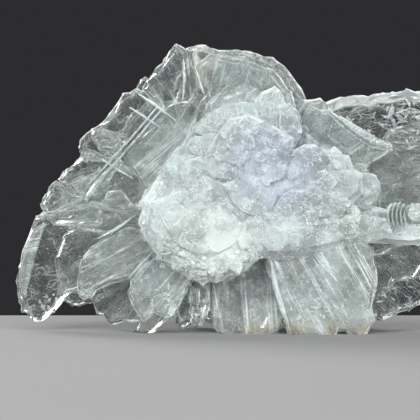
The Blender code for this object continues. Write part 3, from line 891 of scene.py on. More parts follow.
@dataclass
class LeftWing(BladeGroup):
    """The clear blades that fan out to the left."""

    name: str = "left_wing"
    finish: BariteFinish = CLEAR
    seed: int = 3
    blades: list[Blade] = field(default_factory=lambda: [
        Blade("lower_left_wing", [
            (-38.3, 8.5), (-38.2, 6.8), (-37.9, 5.0), (-37.3, 3.5), (-36.6, 3.5), (-36.3, 2.7),
            (-35.7, 2.0), (-34.7, 1.9), (-33.5, 2.4), (-31.4, 4.2), (-30.0, 6.2), (-26.5, 8.0),
            (-20.0, 9.5), (-14.0, 13.0), (-15.0, 18.5), (-20.5, 21.0), (-25.5, 22.0), (-30.0, 20.7),
            (-33.9, 20.2), (-35.1, 19.3), (-36.2, 16.5), (-37.1, 13.6), (-37.9, 11.0)],
            0.8, 3.2, swing=-0.12, lean=-0.06, chisel=0.62, milk=0.02, growth=208, facet=0.10, edge=0.6),
        Blade("second_blade", [
            (-27.9, 9.4), (-28.0, 7.4), (-27.6, 6.2), (-27.0, 5.9), (-26.2, 6.1), (-25.5, 6.4),
            (-24.8, 7.2), (-22.4, 8.5), (-20.4, 9.1), (-16.0, 9.5), (-12.5, 13.0), (-15.5, 17.5),
            (-20.0, 18.3), (-22.5, 16.5), (-24.2, 15.5), (-26.2, 13.9), (-27.3, 12.5), (-27.8, 11.0)],
            -1.9, 2.4, swing=-0.10, lean=0.06, chisel=0.5, milk=0.36, laths=1.3, growth=211),
        Blade("third_blade", [
            (-19.6, 6.9), (-18.7, 5.0), (-17.8, 3.4), (-16.9, 2.2), (-15.3, 3.9), (-14.2, 3.1),
            (-12.4, 3.2), (-11.3, 5.2), (-10.0, 7.2), (-8.5, 9.5), (-9.5, 13.0), (-13.0, 14.4),
            (-16.6, 12.3), (-18.2, 10.7), (-19.2, 9.2), (-19.1, 8.0)],
            -4.6, 2.5, swing=-0.10, lean=0.14, chisel=0.5, milk=0.4, laths=1.1, growth=228),
        Blade("low_back_blade", [
            (-31.2, 5.6), (-30.6, 5.0), (-29.3, 4.4), (-28.0, 4.1), (-26.8, 4.7), (-25.0, 4.9),
            (-20.0, 8.0), (-20.0, 13.0), (-28.0, 12.0), (-31.5, 9.5)],
            4.4, 2.2, swing=-0.05, lean=-0.10, milk=0.15, laths=1.6, growth=215),
        Blade("low_middle_blade", [
            (-26.4, 6.8), (-25.6, 4.7), (-25.0, 3.1), (-23.9, 2.9), (-23.4, 1.9), (-22.7, 1.3),
            (-21.9, 1.4), (-20.9, 1.8), (-18.8, 1.7), (-17.5, 1.9), (-16.0, 3.4), (-11.2, 7.6),
            (-13.4, 12.4), (-19.2, 13.3), (-25.0, 10.5)],
            2.3, 2.5, swing=-0.04, lean=-0.05, chisel=0.5, milk=0.16, laths=1.4, growth=228),
        Blade("foot_splinter", [
            (-18.7, 0.4), (-18.3, -0.4), (-16.2, -0.2), (-15.2, 0.6), (-14.2, 1.8), (-12.8, 2.9),
            (-11.0, 5.5), (-12.0, 7.5), (-13.8, 6.0), (-15.6, 4.0), (-17.0, 2.5)],
            -2.8, 2.0, swing=-0.08, lean=0.12, chisel=0.35, milk=0.14),
        Blade("upper_outer_blade", [
            (-25.6, 33.9), (-25.9, 33.0), (-25.3, 31.5), (-24.3, 30.5), (-22.0, 30.2), (-19.0, 27.0),
            (-13.0, 28.0), (-11.5, 34.0), (-13.8, 37.8), (-16.9, 40.3), (-18.4, 40.9), (-19.5, 40.1),
            (-20.5, 40.0), (-21.3, 38.6), (-23.0, 36.2), (-24.4, 34.8)],
            1.0, 2.8, swing=-0.08, lean=0.03, milk=0.18, laths=2.0, growth=229),
        Blade("diagonal_blade", [
            (-20.4, 30.4), (-19.6, 28.2), (-16.5, 23.5), (-12.0, 23.0), (-5.0, 28.0), (-6.0, 36.0),
            (-9.5, 38.6), (-13.0, 37.9), (-16.0, 34.9), (-18.5, 32.4)],
            -0.9, 2.6, swing=-0.16, lean=-0.06, chisel=0.6, milk=0.24, laths=2.4, growth=229),
        Blade("apex_blade", [
            (-11.9, 48.05), (-12.9, 47.0), (-14.0, 45.2), (-15.2, 43.8), (-16.5, 42.2), (-17.4, 40.6),
            (-14.8, 37.4), (-12.0, 33.0), (-5.0, 34.0), (-6.5, 41.0), (-8.9, 45.8), (-10.3, 47.6),
            (-11.1, 48.0)],
            0.9, 2.6, swing=-0.07, lean=0.05, chisel=0.8, milk=0.24, laths=2.2, growth=122),
        Blade("edge_chip", [
            (-18.4, 40.7), (-17.6, 42.2), (-17.0, 42.6), (-16.4, 42.2), (-14.6, 39.5), (-16.5, 38.4)],
            2.6, 1.7, chisel=0.35, milk=0.12),
        Blade("shoulder_block", [
            (-27.9, 30.9), (-27.8, 32.1), (-26.6, 33.5), (-25.8, 34.0), (-24.6, 34.2), (-20.0, 33.0),
            (-20.0, 28.5), (-25.5, 28.5), (-27.7, 29.8)],
            3.6, 4.6, swing=0.10, lean=0.05, chisel=1.1, milk=0.14, laths=1.2, growth=160),
        Blade("flank_blade", [
            (-27.6, 30.1), (-27.8, 29.2), (-29.0, 28.0), (-30.1, 27.3), (-31.4, 25.5), (-28.2, 23.2),
            (-24.0, 20.5), (-15.0, 21.0), (-15.0, 27.0), (-20.5, 28.9), (-23.8, 29.5), (-26.1, 30.5)],
            1.9, 2.8, swing=-0.10, lean=0.08, milk=0.16, laths=1.8, growth=205),
        Blade("flank_tip", [
            (-31.6, 25.3), (-33.0, 24.1), (-33.8, 22.5), (-34.2, 21.2), (-34.0, 20.1), (-32.0, 18.0),
            (-24.0, 18.0), (-23.0, 23.0), (-28.5, 23.7), (-29.8, 24.6)],
            1.9, 2.3, swing=-0.14, lean=0.10, chisel=0.8, milk=0.15, laths=1.5, growth=210),
        Blade("flank_web", [
            (-24.0, 21.7), (-22.9, 23.6), (-20.9, 23.9), (-19.0, 21.6), (-13.0, 20.0), (-13.0, 15.5),
            (-18.5, 16.5), (-20.2, 18.0), (-21.2, 20.0)],
            -1.3, 1.9, swing=-0.10, lean=-0.05, chisel=0.4, milk=0.18),
        Blade("flank_ridge", [
            (-27.6, 22.2), (-24.8, 25.6), (-21.5, 28.9), (-20.3, 28.6), (-22.9, 25.4), (-26.2, 21.6)],
            0.4, 1.6, swing=-0.10, lean=0.05, chisel=0.4, milk=0.22),
    ])


@dataclass
class Crown(BladeGroup):
    """The milky blades at the top."""

    name: str = "crown"
    finish: BariteFinish = CLOUDED
    seed: int = 70
    blades: list[Blade] = field(default_factory=lambda: [
        Blade("crown_blade", [
            (-10.0, 47.4), (-8.0, 47.9), (-6.8, 48.0), (-6.1, 47.5), (-4.8, 47.0), (-1.0, 47.1),
            (1.8, 46.5), (4.3, 45.7), (6.4, 44.4), (7.9, 42.3), (9.8, 39.4), (11.0, 37.0),
            (11.0, 30.0), (4.0, 26.0), (-6.0, 28.0), (-9.0, 36.0)],
            0.6, 4.4, swing=0.04, lean=0.04, chisel=1.1, milk=0.22, laths=3.0, growth=88),
        Blade("crown_step", [
            (-8.6, 44.5), (-6.0, 46.4), (-1.0, 45.6), (4.4, 43.9), (7.3, 40.2), (8.4, 36.5),
            (4.0, 32.0), (-5.0, 32.5)],
            -1.5, 2.0, swing=0.05, lean=0.08, chisel=0.9, milk=0.30, laths=2.6, growth=80),
        Blade("saddle_blade", [
            (9.2, 38.9), (10.7, 38.8), (12.2, 39.0), (13.3, 38.2), (14.6, 36.4), (13.0, 30.0),
            (7.0, 30.0), (6.5, 35.5)],
            -0.6, 3.0, swing=0.08, lean=-0.06, chisel=0.6, milk=0.34, laths=1.6, growth=60),
        Blade("saddle_lobe", [
            (10.3, 37.7), (11.9, 37.4), (13.3, 35.8), (14.0, 34.4), (12.9, 32.9), (11.0, 31.0),
            (8.5, 33.0), (9.2, 36.0)],
            -2.6, 1.9, swing=0.04, lean=-0.04, chisel=0.4, milk=0.34, laths=1.2, growth=60),
    ])


@dataclass
class RightWing(BladeGroup):
    """The clear blades that fan out to the right."""

    name: str = "right_wing"
    finish: BariteFinish = CLEAR
    seed: int = 89
    blades: list[Blade] = field(default_factory=lambda: [
        Blade("upper_right_wing", [
            (12.0, 37.0), (13.3, 38.3), (14.2, 38.8), (16.4, 39.5), (18.8, 39.6), (20.4, 39.4),
            (21.3, 39.9), (24.0, 40.1), (25.8, 40.4), (26.7, 40.8), (27.3, 40.5), (28.0, 40.2),
            (29.4, 40.2), (31.6, 39.3), (34.0, 37.0), (36.1, 33.4), (37.4, 28.6), (37.0, 24.6),
            (33.5, 21.6), (27.0, 19.5), (16.0, 20.0), (11.0, 28.0)],
            2.6, 3.4, swing=0.07, lean=0.02, chisel=1.5, milk=0.0, growth=22, facet=0.3),
        Blade("banded_blade", [
            (10.5, 37.4), (13.9, 37.1), (16.6, 34.7), (18.6, 33.1), (21.0, 31.7), (24.0, 31.1),
            (24.1, 30.5), (21.1, 28.7), (19.2, 26.9), (16.0, 23.5), (9.0, 24.0), (7.0, 31.0)],
            -1.9, 2.6, swing=-0.20, lean=-0.20, chisel=0.35, milk=0.26, laths=1.8, growth=20, facet=0.2),
        Blade("tip_blade", [
            (19.0, 26.6), (21.0, 28.5), (24.1, 30.7), (25.6, 29.4), (26.2, 27.3), (25.4, 25.0),
            (22.6, 22.0), (17.0, 21.0)],
            0.4, 2.2, swing=0.16, lean=-0.12, chisel=0.6, milk=0.18, laths=1.6, growth=10),
        Blade("right_end_blade", [
            (20.5, 30.5), (24.0, 34.0), (30.5, 35.6), (34.5, 32.6), (38.2, 27.2), (38.0, 21.5),
            (35.0, 16.5), (29.5, 15.0), (22.0, 18.0), (19.0, 25.0)],
            0.2, 2.6, swing=0.12, lean=-0.04, chisel=0.9, milk=0.15, laths=2.4, growth=5, edge=0.15),
        Blade("front_fan_blade", [
            (3.1, 12.0), (4.2, 8.5), (5.3, 5.6), (6.4, 2.2), (7.0, -0.4), (14.2, -0.4), (15.0, 0.9),
            (16.4, 0.8), (17.2, -0.4), (19.4, -0.4), (20.5, 1.6), (21.1, 2.4), (20.5, 4.8),
            (21.0, 6.8), (21.3, 9.1), (21.1, 11.5), (20.6, 14.3), (17.0, 17.6), (12.0, 18.0),
            (8.4, 17.1), (5.6, 15.4), (3.1, 13.9)],
            -5.9, 3.0, swing=0.03, lean=0.02, chisel=0.45, milk=0.52, laths=1.3, growth=-62),
        Blade("right_low_blade", [
            (17.0, 2.5), (20.6, 2.1), (21.4, 2.7), (22.1, 2.2), (23.6, 2.5), (24.6, 3.0), (25.7, 3.7),
            (27.1, 4.0), (28.2, 4.5), (29.6, 5.3), (31.8, 6.9), (33.6, 9.6), (34.3, 12.6),
            (33.4, 16.4), (29.0, 17.6), (20.0, 17.0), (14.0, 12.0)],
            -0.8, 2.9, swing=0.12, lean=0.06, chisel=0.8, milk=0.08, laths=1.8, growth=-35),
        Blade("right_shelf", [
            (12.0, 17.0), (18.0, 15.6), (23.1, 15.2), (26.5, 14.9), (30.8, 15.2), (32.6, 17.4),
            (31.8, 19.6), (26.0, 20.2), (20.0, 21.5), (12.0, 22.0)],
            -3.2, 3.0, swing=0.06, lean=0.05, chisel=0.8, milk=1.5, laths=1.0, growth=-4),
    ])


@dataclass
class Foot(BladeGroup):
    """The blades that point down and that the cluster stands on."""

    name: str = "foot"
    finish: BariteFinish = CLEAR
    seed: int = 124
    blades: list[Blade] = field(default_factory=lambda: [
        Blade("foot_blade", [
            (-6.0, 6.0), (-5.9, 3.5), (-5.7, 1.8), (-5.0, 0.6), (-3.8, -0.3), (4.0, -0.4), (5.6, 0.9),
            (6.3, 4.0), (6.4, 9.0), (5.0, 14.0), (-4.0, 14.0), (-6.2, 9.5)],
            -2.6, 5.0, lean=0.05, chisel=0.5, milk=0.55, laths=1.2, growth=-88),
        Blade("foot_web", [
            (4.6, 2.4), (7.0, 1.2), (12.4, 0.7), (17.6, 1.6), (20.0, 3.6), (19.4, 10.0), (12.0, 13.0),
            (4.0, 11.0)],
            1.2, 3.2, lean=-0.04, chisel=0.8, milk=0.16, laths=1.8, growth=-60),
        Blade("foot_tooth_left", [
            (-12.2, 5.0), (-12.0, 3.0), (-11.6, 1.7), (-10.8, 1.1), (-9.8, 1.2), (-9.1, 2.0),
            (-8.6, 5.0), (-8.5, 9.0), (-11.0, 9.0)],
            -3.0, 2.2, swing=0.10, lean=0.10, chisel=0.5, milk=0.12, laths=0.9, growth=-100),
        Blade("foot_tooth_middle", [
            (-9.2, 2.2), (-8.6, 1.4), (-7.7, 1.6), (-6.6, 3.0), (-6.1, 4.4), (-6.0, 9.0), (-9.3, 9.0)],
            -4.6, 1.8, swing=-0.12, lean=0.12, chisel=0.4, milk=0.14),
        Blade("foot_tooth_right", [
            (-8.0, 2.6), (-6.6, 1.9), (-5.4, 2.0), (-4.0, 5.0), (-4.0, 10.0), (-8.5, 10.0)],
            -0.2, 2.2, chisel=0.5, milk=0.16),
        Blade("tiny_block", [
            (-9.4, 5.5), (-7.9, 5.2), (-7.8, 7.8), (-9.2, 8.0)],
            -5.7, 1.6, lean=0.10, chisel=0.3, milk=0.10),
    ])


@dataclass
class Rosette(BladeGroup):
    """The milky plates heaped on the front of the heart."""

    name: str = "rosette"
    finish: BariteFinish = MILKY
    seed: int = 147
    wander: float = 0.16
    blades: list[Blade] = field(default_factory=lambda: [
        Blade("rosette_base", [
            (-14.8, 26.2), (-15.9, 24.0), (-17.1, 22.3), (-17.2, 20.6), (-17.9, 18.5), (-17.3, 17.3),
            (-16.6, 15.9), (-15.8, 14.8), (-14.4, 12.7), (-12.6, 12.1), (-11.3, 10.7), (-10.1, 10.0),
            (-8.2, 9.0), (-7.2, 8.2), (-6.2, 9.0), (-5.0, 8.8), (-3.6, 9.5), (-1.9, 10.3), (0.0, 11.0),
            (2.0, 13.0), (4.5, 17.0), (1.0, 24.0), (-6.0, 27.5), (-11.0, 28.0)],
            -6.1, 3.6, swing=-0.04, lean=0.06, chisel=1.4, milk=0.72, terraces=3),
        Blade("rosette_terrace", [
            (-15.6, 22.4), (-16.6, 19.4), (-15.6, 16.4), (-13.6, 13.9), (-10.8, 12.4), (-9.2, 10.6),
            (-6.9, 10.1), (-4.6, 11.3), (-1.6, 11.7), (1.2, 14.2), (2.0, 19.0), (-4.0, 24.5),
            (-11.0, 24.8)],
            -7.0, 2.2, swing=0.03, lean=0.09, chisel=1.0, milk=0.72, terraces=2),
        Blade("rosette_fold", [
            (-13.4, 17.4), (-11.6, 15.0), (-8.4, 13.2), (-4.4, 13.4), (-1.2, 15.2), (0.6, 18.8),
            (-3.0, 22.5), (-9.0, 22.0)],
            -7.6, 1.5, swing=0.02, lean=0.10, chisel=0.5, milk=0.62),
        Blade("left_lobe", [
            (-11.3, 29.9), (-12.1, 29.8), (-13.1, 28.8), (-13.7, 27.7), (-13.8, 26.4), (-13.4, 25.0),
            (-11.0, 22.5), (-5.0, 22.0), (-4.0, 26.5), (-6.5, 29.5), (-9.4, 30.5), (-10.6, 29.6)],
            -5.4, 2.6, swing=0.04, lean=-0.04, chisel=0.5, milk=0.62),
        Blade("left_lobe_fold", [
            (-10.4, 28.8), (-11.2, 27.0), (-10.6, 24.2), (-8.0, 21.8), (-4.6, 21.0), (-2.4, 24.0),
            (-4.6, 28.0), (-7.4, 29.6)],
            -6.5, 1.7, swing=0.07, lean=-0.03, chisel=0.45, milk=0.62),
        Blade("small_lobe", [
            (-10.1, 31.1), (-9.8, 30.4), (-8.0, 29.2), (-5.0, 28.0), (-3.5, 31.0), (-5.0, 33.3),
            (-7.2, 33.1), (-8.8, 32.8), (-9.6, 31.9)],
            -5.7, 2.0, swing=0.05, lean=-0.05, chisel=0.4, milk=0.62),
        Blade("upper_lobe", [
            (-9.1, 33.1), (-8.8, 34.3), (-7.8, 35.4), (-6.8, 36.5), (-3.0, 38.3), (1.0, 38.5),
            (3.0, 34.0), (0.0, 29.0), (-6.0, 29.5), (-7.6, 32.6)],
            -4.4, 3.0, swing=0.04, lean=0.05, chisel=0.5, milk=0.62),
        Blade("heart_plate", [
            (-7.0, 29.6), (-7.6, 27.2), (-5.8, 25.2), (-3.9, 25.0), (-2.6, 22.6), (0.8, 21.6),
            (4.4, 22.4), (5.2, 24.0), (7.6, 25.0), (8.9, 28.2), (7.4, 30.2), (7.6, 32.6), (4.4, 34.6),
            (0.4, 36.4), (-2.8, 35.8), (-5.4, 32.6)],
            -6.3, 2.8, swing=0.03, lean=-0.05, chisel=1.0, milk=0.72, terraces=2),
        Blade("heart_leaf_left", [
            (-4.9, 31.4), (-5.6, 28.6), (-3.6, 26.2), (-0.6, 25.8), (1.0, 28.0), (0.4, 31.6),
            (-2.2, 33.4)],
            -7.2, 1.4, swing=0.05, lean=-0.06, chisel=0.4, milk=0.62),
        Blade("heart_leaf_right", [
            (1.6, 30.8), (0.8, 27.4), (2.8, 24.6), (6.0, 25.8), (7.2, 28.8), (5.6, 31.8), (3.4, 32.6)],
            -7.1, 1.5, swing=-0.04, lean=0.04, chisel=0.4, milk=0.62),
        Blade("heart_leaf_low", [
            (-3.8, 24.8), (-2.4, 21.4), (0.8, 19.4), (4.2, 20.6), (5.4, 23.4), (2.6, 26.2),
            (-1.2, 27.0)],
            -7.3, 1.6, swing=0.03, lean=0.06, chisel=0.4, milk=0.62),
        Blade("crown_lobe_left", [
            (0.6, 38.0), (2.4, 40.0), (4.6, 41.1), (5.7, 40.3), (6.4, 38.0), (5.5, 33.5), (1.5, 33.0)],
            -3.4, 2.2, lean=0.05, chisel=0.5, milk=0.62),
        Blade("crown_lobe_right", [
            (5.0, 37.8), (7.0, 38.3), (8.7, 36.6), (9.0, 33.5), (7.5, 30.5), (4.6, 31.5)],
            -4.2, 2.2, swing=0.05, lean=0.04, chisel=0.5, milk=0.62),
        Blade("right_plate", [
            (3.5, 17.0), (8.0, 16.6), (10.6, 17.6), (14.0, 18.6), (17.2, 20.2), (17.6, 22.2),
            (19.2, 23.4), (19.2, 26.6), (17.6, 27.4), (16.8, 29.6), (13.4, 30.0), (11.0, 31.6),
            (7.0, 30.5), (4.0, 26.5), (2.0, 21.0)],
            -5.5, 3.2, swing=0.07, lean=0.04, chisel=1.2, milk=0.72, terraces=2),
        Blade("right_leaf_low", [
            (6.6, 19.2), (9.6, 17.9), (12.8, 19.2), (15.2, 21.4), (14.4, 24.4), (11.2, 25.4),
            (7.8, 23.4)],
            -6.6, 1.6, swing=0.08, lean=0.07, chisel=0.4, milk=0.62),
        Blade("right_leaf_high", [
            (8.6, 26.8), (10.4, 24.2), (13.8, 23.6), (16.9, 25.4), (15.6, 28.2), (12.2, 30.2),
            (9.4, 29.4)],
            -6.2, 1.5, swing=0.08, lean=-0.05, chisel=0.4, milk=0.62),
        Blade("right_lobe", [
            (18.9, 26.7), (20.3, 26.8), (21.3, 26.3), (21.9, 25.2), (22.0, 24.0), (21.4, 22.4),
            (19.6, 20.4), (16.0, 20.0), (15.5, 25.0)],
            -3.9, 2.4, swing=0.08, lean=-0.02, chisel=0.5, milk=0.62),
        Blade("skirt_plate", [
            (-0.8, 13.6), (0.6, 12.2), (3.2, 13.6), (6.0, 15.2), (9.5, 17.2), (10.4, 19.4),
            (6.0, 22.0), (2.0, 22.5), (-1.6, 18.6)],
            -7.1, 2.2, swing=0.05, lean=0.08, chisel=0.9, milk=0.72, terraces=2, edge=0.5),
        Blade("skirt_web", [
            (2.0, 13.2), (6.0, 12.4), (11.0, 13.4), (16.0, 14.4), (21.0, 15.6), (24.0, 16.9),
            (23.0, 19.2), (18.0, 20.4), (12.0, 20.0), (6.0, 19.0), (2.0, 17.0)],
            -6.7, 2.4, swing=0.07, lean=0.06, chisel=1.6, milk=0.55, edge=0.1),
    ])


@dataclass
class BackFan(BladeGroup):
    """The fan of blades behind the heart."""

    name: str = "back_fan"
    finish: BariteFinish = CLEAR
    seed: int = 223
    blades: list[Blade] = field(default_factory=lambda: [
        Blade("back_heart", [
            (-17.0, 12.0), (-18.5, 20.0), (-14.0, 30.0), (-9.0, 40.0), (0.0, 43.0), (7.5, 38.5),
            (14.0, 33.0), (22.0, 27.0), (22.5, 16.0), (15.0, 8.0), (4.0, 6.0), (-9.0, 7.0)],
            0.5, 9.0, chisel=2.6, milk=0.55),
        Blade("back_left_low", [
            (-31.6, 8.6), (-30.4, 6.9), (-27.6, 6.2), (-22.8, 8.4), (-12.0, 9.0), (-6.0, 14.0),
            (-11.0, 20.5), (-20.5, 20.0), (-26.5, 19.2), (-30.2, 16.6), (-32.0, 12.4)],
            5.2, 2.6, swing=-0.10, lean=0.04, chisel=0.8, milk=0.12, laths=2.0),
        Blade("back_left_middle", [
            (-30.8, 23.0), (-31.4, 20.2), (-29.2, 17.2), (-22.6, 16.2), (-12.0, 14.0), (-5.0, 18.0),
            (-8.0, 26.0), (-17.0, 27.4), (-22.4, 27.9), (-25.2, 26.2), (-28.8, 25.2)],
            6.9, 2.3, swing=-0.12, lean=0.06, chisel=0.8, milk=0.12, laths=2.0),
        Blade("back_left_high", [
            (-24.6, 31.4), (-22.4, 28.2), (-17.0, 25.4), (-8.0, 22.0), (-3.0, 28.0), (-6.5, 36.5),
            (-12.0, 38.9), (-16.4, 38.0), (-19.2, 36.4), (-20.4, 34.2)],
            5.0, 2.5, swing=-0.10, lean=0.08, chisel=0.8, milk=0.12, laths=2.0),
        Blade("back_crown", [
            (-12.4, 37.6), (-11.6, 42.2), (-9.4, 44.8), (-5.6, 45.0), (-4.0, 46.2), (0.6, 45.6),
            (3.6, 43.6), (6.6, 41.2), (8.2, 37.0), (6.0, 30.0), (1.0, 24.0), (-8.0, 25.0)],
            4.4, 2.9, swing=0.05, lean=0.06, chisel=0.9, milk=0.12, laths=2.0),
        Blade("back_right_high", [
            (4.0, 26.0), (6.0, 33.0), (11.6, 36.4), (17.4, 36.9), (20.2, 38.2), (25.0, 37.6),
            (29.6, 36.4), (32.6, 32.6), (33.4, 28.4), (27.0, 24.4), (15.0, 20.0), (6.0, 20.0)],
            5.3, 2.6, swing=0.08, lean=0.04, chisel=0.8, milk=0.12, laths=2.0),
        Blade("back_right_middle", [
            (6.0, 17.0), (8.0, 25.0), (15.0, 28.6), (22.6, 29.8), (27.0, 28.6), (32.8, 27.0),
            (35.2, 22.8), (34.2, 18.4), (29.0, 15.2), (22.0, 12.6), (12.0, 12.0)],
            6.9, 2.9, swing=0.08, lean=-0.02, chisel=0.8, milk=0.12, laths=2.0),
        Blade("back_right_low", [
            (9.0, 10.0), (9.0, 18.0), (15.0, 21.0), (22.4, 19.4), (28.8, 16.2), (30.4, 12.4),
            (28.2, 8.8), (25.0, 8.2), (22.8, 5.8), (17.6, 5.4), (12.0, 6.4)],
            5.4, 2.6, swing=0.05, lean=-0.10, chisel=0.8, milk=0.12, laths=2.0),
        Blade("back_foot_right", [
            (4.6, -0.6), (3.4, 6.0), (4.8, 14.0), (10.0, 17.0), (15.4, 13.4), (17.4, 8.0), (16.2, 3.6),
            (16.6, 1.2), (14.6, -0.6)],
            7.2, 3.0, swing=0.05, lean=-0.15, chisel=0.5, milk=0.12, laths=2.0),
        Blade("back_foot_middle", [
            (-4.4, -0.6), (-6.4, 5.0), (-6.0, 12.0), (-1.0, 16.0), (4.6, 13.0), (5.6, 6.0),
            (2.6, -0.6)],
            7.9, 2.7, swing=-0.03, lean=-0.08, chisel=0.5, milk=0.12, laths=2.0),
        Blade("back_foot_left", [
            (-14.2, 3.2), (-16.0, 6.8), (-15.2, 12.2), (-10.0, 16.0), (-4.4, 13.0), (-3.8, 7.4),
            (-6.8, 2.6), (-10.2, 0.9)],
            6.6, 2.6, swing=-0.07, lean=-0.10, chisel=0.5, milk=0.12, laths=2.0),
    ])


@dataclass
class BackRosette(BladeGroup):
    """The milky plates heaped on the back of the heart."""

    name: str = "back_rosette"
    finish: BariteFinish = MILKY
    seed: int = 231
    wander: float = 0.16
    blades: list[Blade] = field(default_factory=lambda: [
        Blade("back_crown_leaf", [
            (-6.6, 38.8), (-3.6, 41.8), (0.2, 42.4), (3.0, 39.4), (4.6, 34.0), (2.0, 28.0),
            (-5.0, 27.0), (-7.6, 33.4)],
            6.4, 1.9, swing=-0.06, lean=0.05, chisel=0.6, milk=0.55),
        Blade("back_rosette", [
            (-12.6, 20.6), (-12.8, 17.4), (-9.4, 14.2), (-6.2, 12.0), (0.2, 11.6), (4.8, 12.8),
            (6.4, 14.6), (10.4, 15.4), (12.2, 19.4), (10.0, 23.4), (11.2, 26.6), (7.4, 30.2),
            (2.6, 31.6), (-3.0, 29.6), (-4.4, 27.4), (-9.8, 25.6)],
            7.2, 2.8, swing=0.02, lean=0.03, chisel=0.6, milk=0.55),
        Blade("back_diagonal", [
            (-10.4, 16.6), (-8.4, 13.6), (-3.6, 14.6), (3.0, 18.6), (8.8, 22.4), (12.6, 26.4),
            (12.0, 29.4), (9.4, 30.4), (4.2, 27.6), (-3.0, 23.4), (-8.0, 20.2)],
            8.5, 1.9, swing=0.04, lean=-0.04, chisel=0.5, milk=0.55),
        Blade("back_leaf", [
            (-7.6, 27.6), (-8.4, 23.8), (-5.0, 20.2), (-0.4, 20.8), (1.6, 24.4), (-0.8, 28.8),
            (-4.6, 30.4)],
            8.1, 1.8, swing=0.08, lean=0.08, chisel=0.45, milk=0.55),
    ])


@dataclass
class Lamellae(BladeGroup):
    """The book of thin curved plates at the right, which stand edge-on to the front.

    Attributes:
        count: How many plates it has, without the block that closes it.
        pitch: Distance from one plate to the next.
        first_x: Where the first one stands.
        top: Height that the book rises to in its middle.
    """

    name: str = "lamellae"
    finish: BariteFinish = MILKY
    seed: int = 11
    blades: list[Blade] = field(default_factory=list)
    count: int = 5
    wander: float = 0.06
    pitch: float = 0.68
    first_x: float = 23.5
    top: float = 22.0

    def __post_init__(self) -> None:
        """Lays the plates out from left to right, with the block that closes the book."""
        for i in range(self.count):
            x = self.first_x + i * self.pitch
            top = self.top - 0.10 * (i - 1.5) ** 2
            outline = [
                (x - 0.14, 18.2), (x - 0.42, 19.6), (x - 0.34, 20.9), (x - 0.02, top - 0.25),
                (x + 0.42, top), (x + 0.50, top - 0.22), (x + 0.18, top - 0.50), (x - 0.08, 20.8),
                (x - 0.16, 19.6), (x + 0.12, 18.2)]
            self.blades.append(Blade(
                f"lamella_{i + 1}", outline, -5.0 + 0.2 * i, 2.4, chisel=0.06, milk=0.8, growth=90))
        self.blades.append(Blade(
            "end_block", [(26.3, 19.6), (26.4, 21.0), (27.3, 21.8), (28.6, 21.6), (29.6, 20.6),
                          (29.8, 19.2), (28.6, 18.4), (27.0, 18.4)],
            -3.9, 2.4, swing=0.10, lean=0.06, chisel=0.35, milk=0.55))


@dataclass(frozen=True)
class Ridge:
    """A narrow ridge on a blade.

    Attributes:
        host: The blade that it stands on.
        line: Its middle line, as (x, z) points.
        width: Its width, in millimetres.
        proud: How far it stands out of the blade.
        milk: How cloudy it is.
    """

    host: str
    line: Outline
    width: float = 0.30
    proud: float = 0.25
    milk: float = 0.9

    def blade(self, host: Blade, number: int) -> Blade:
        """Returns the ridge as a thin blade.

        Args:
            host: The blade that it stands on.
            number: Its number.

        Returns:
            The blade, as long as the line and tapered at its ends.
        """
        last = len(self.line) - 1
        left, right = [], []
        for i, (x, z) in enumerate(self.line):
            (ax, az), (bx, bz) = self.line[max(i - 1, 0)], self.line[min(i + 1, last)]
            across = Vector((az - bz, bx - ax)).normalized()
            half = self.width / 2 * (0.35 if i in (0, last) else 1.0)
            left.append((x + across.x * half, z + across.y * half))
            right.append((x - across.x * half, z - across.y * half))
        ridge = Blade(
            f"ridge_{number:02d}", left + right[::-1], 0.0, 0.8, swing=host.swing, lean=host.lean,
            chisel=0.22 * self.width, milk=self.milk)
        depth = host.face_depth(*ridge.centre(), Side.FRONT) - self.proud + ridge.thick / 2
        return replace(ridge, depth=depth)


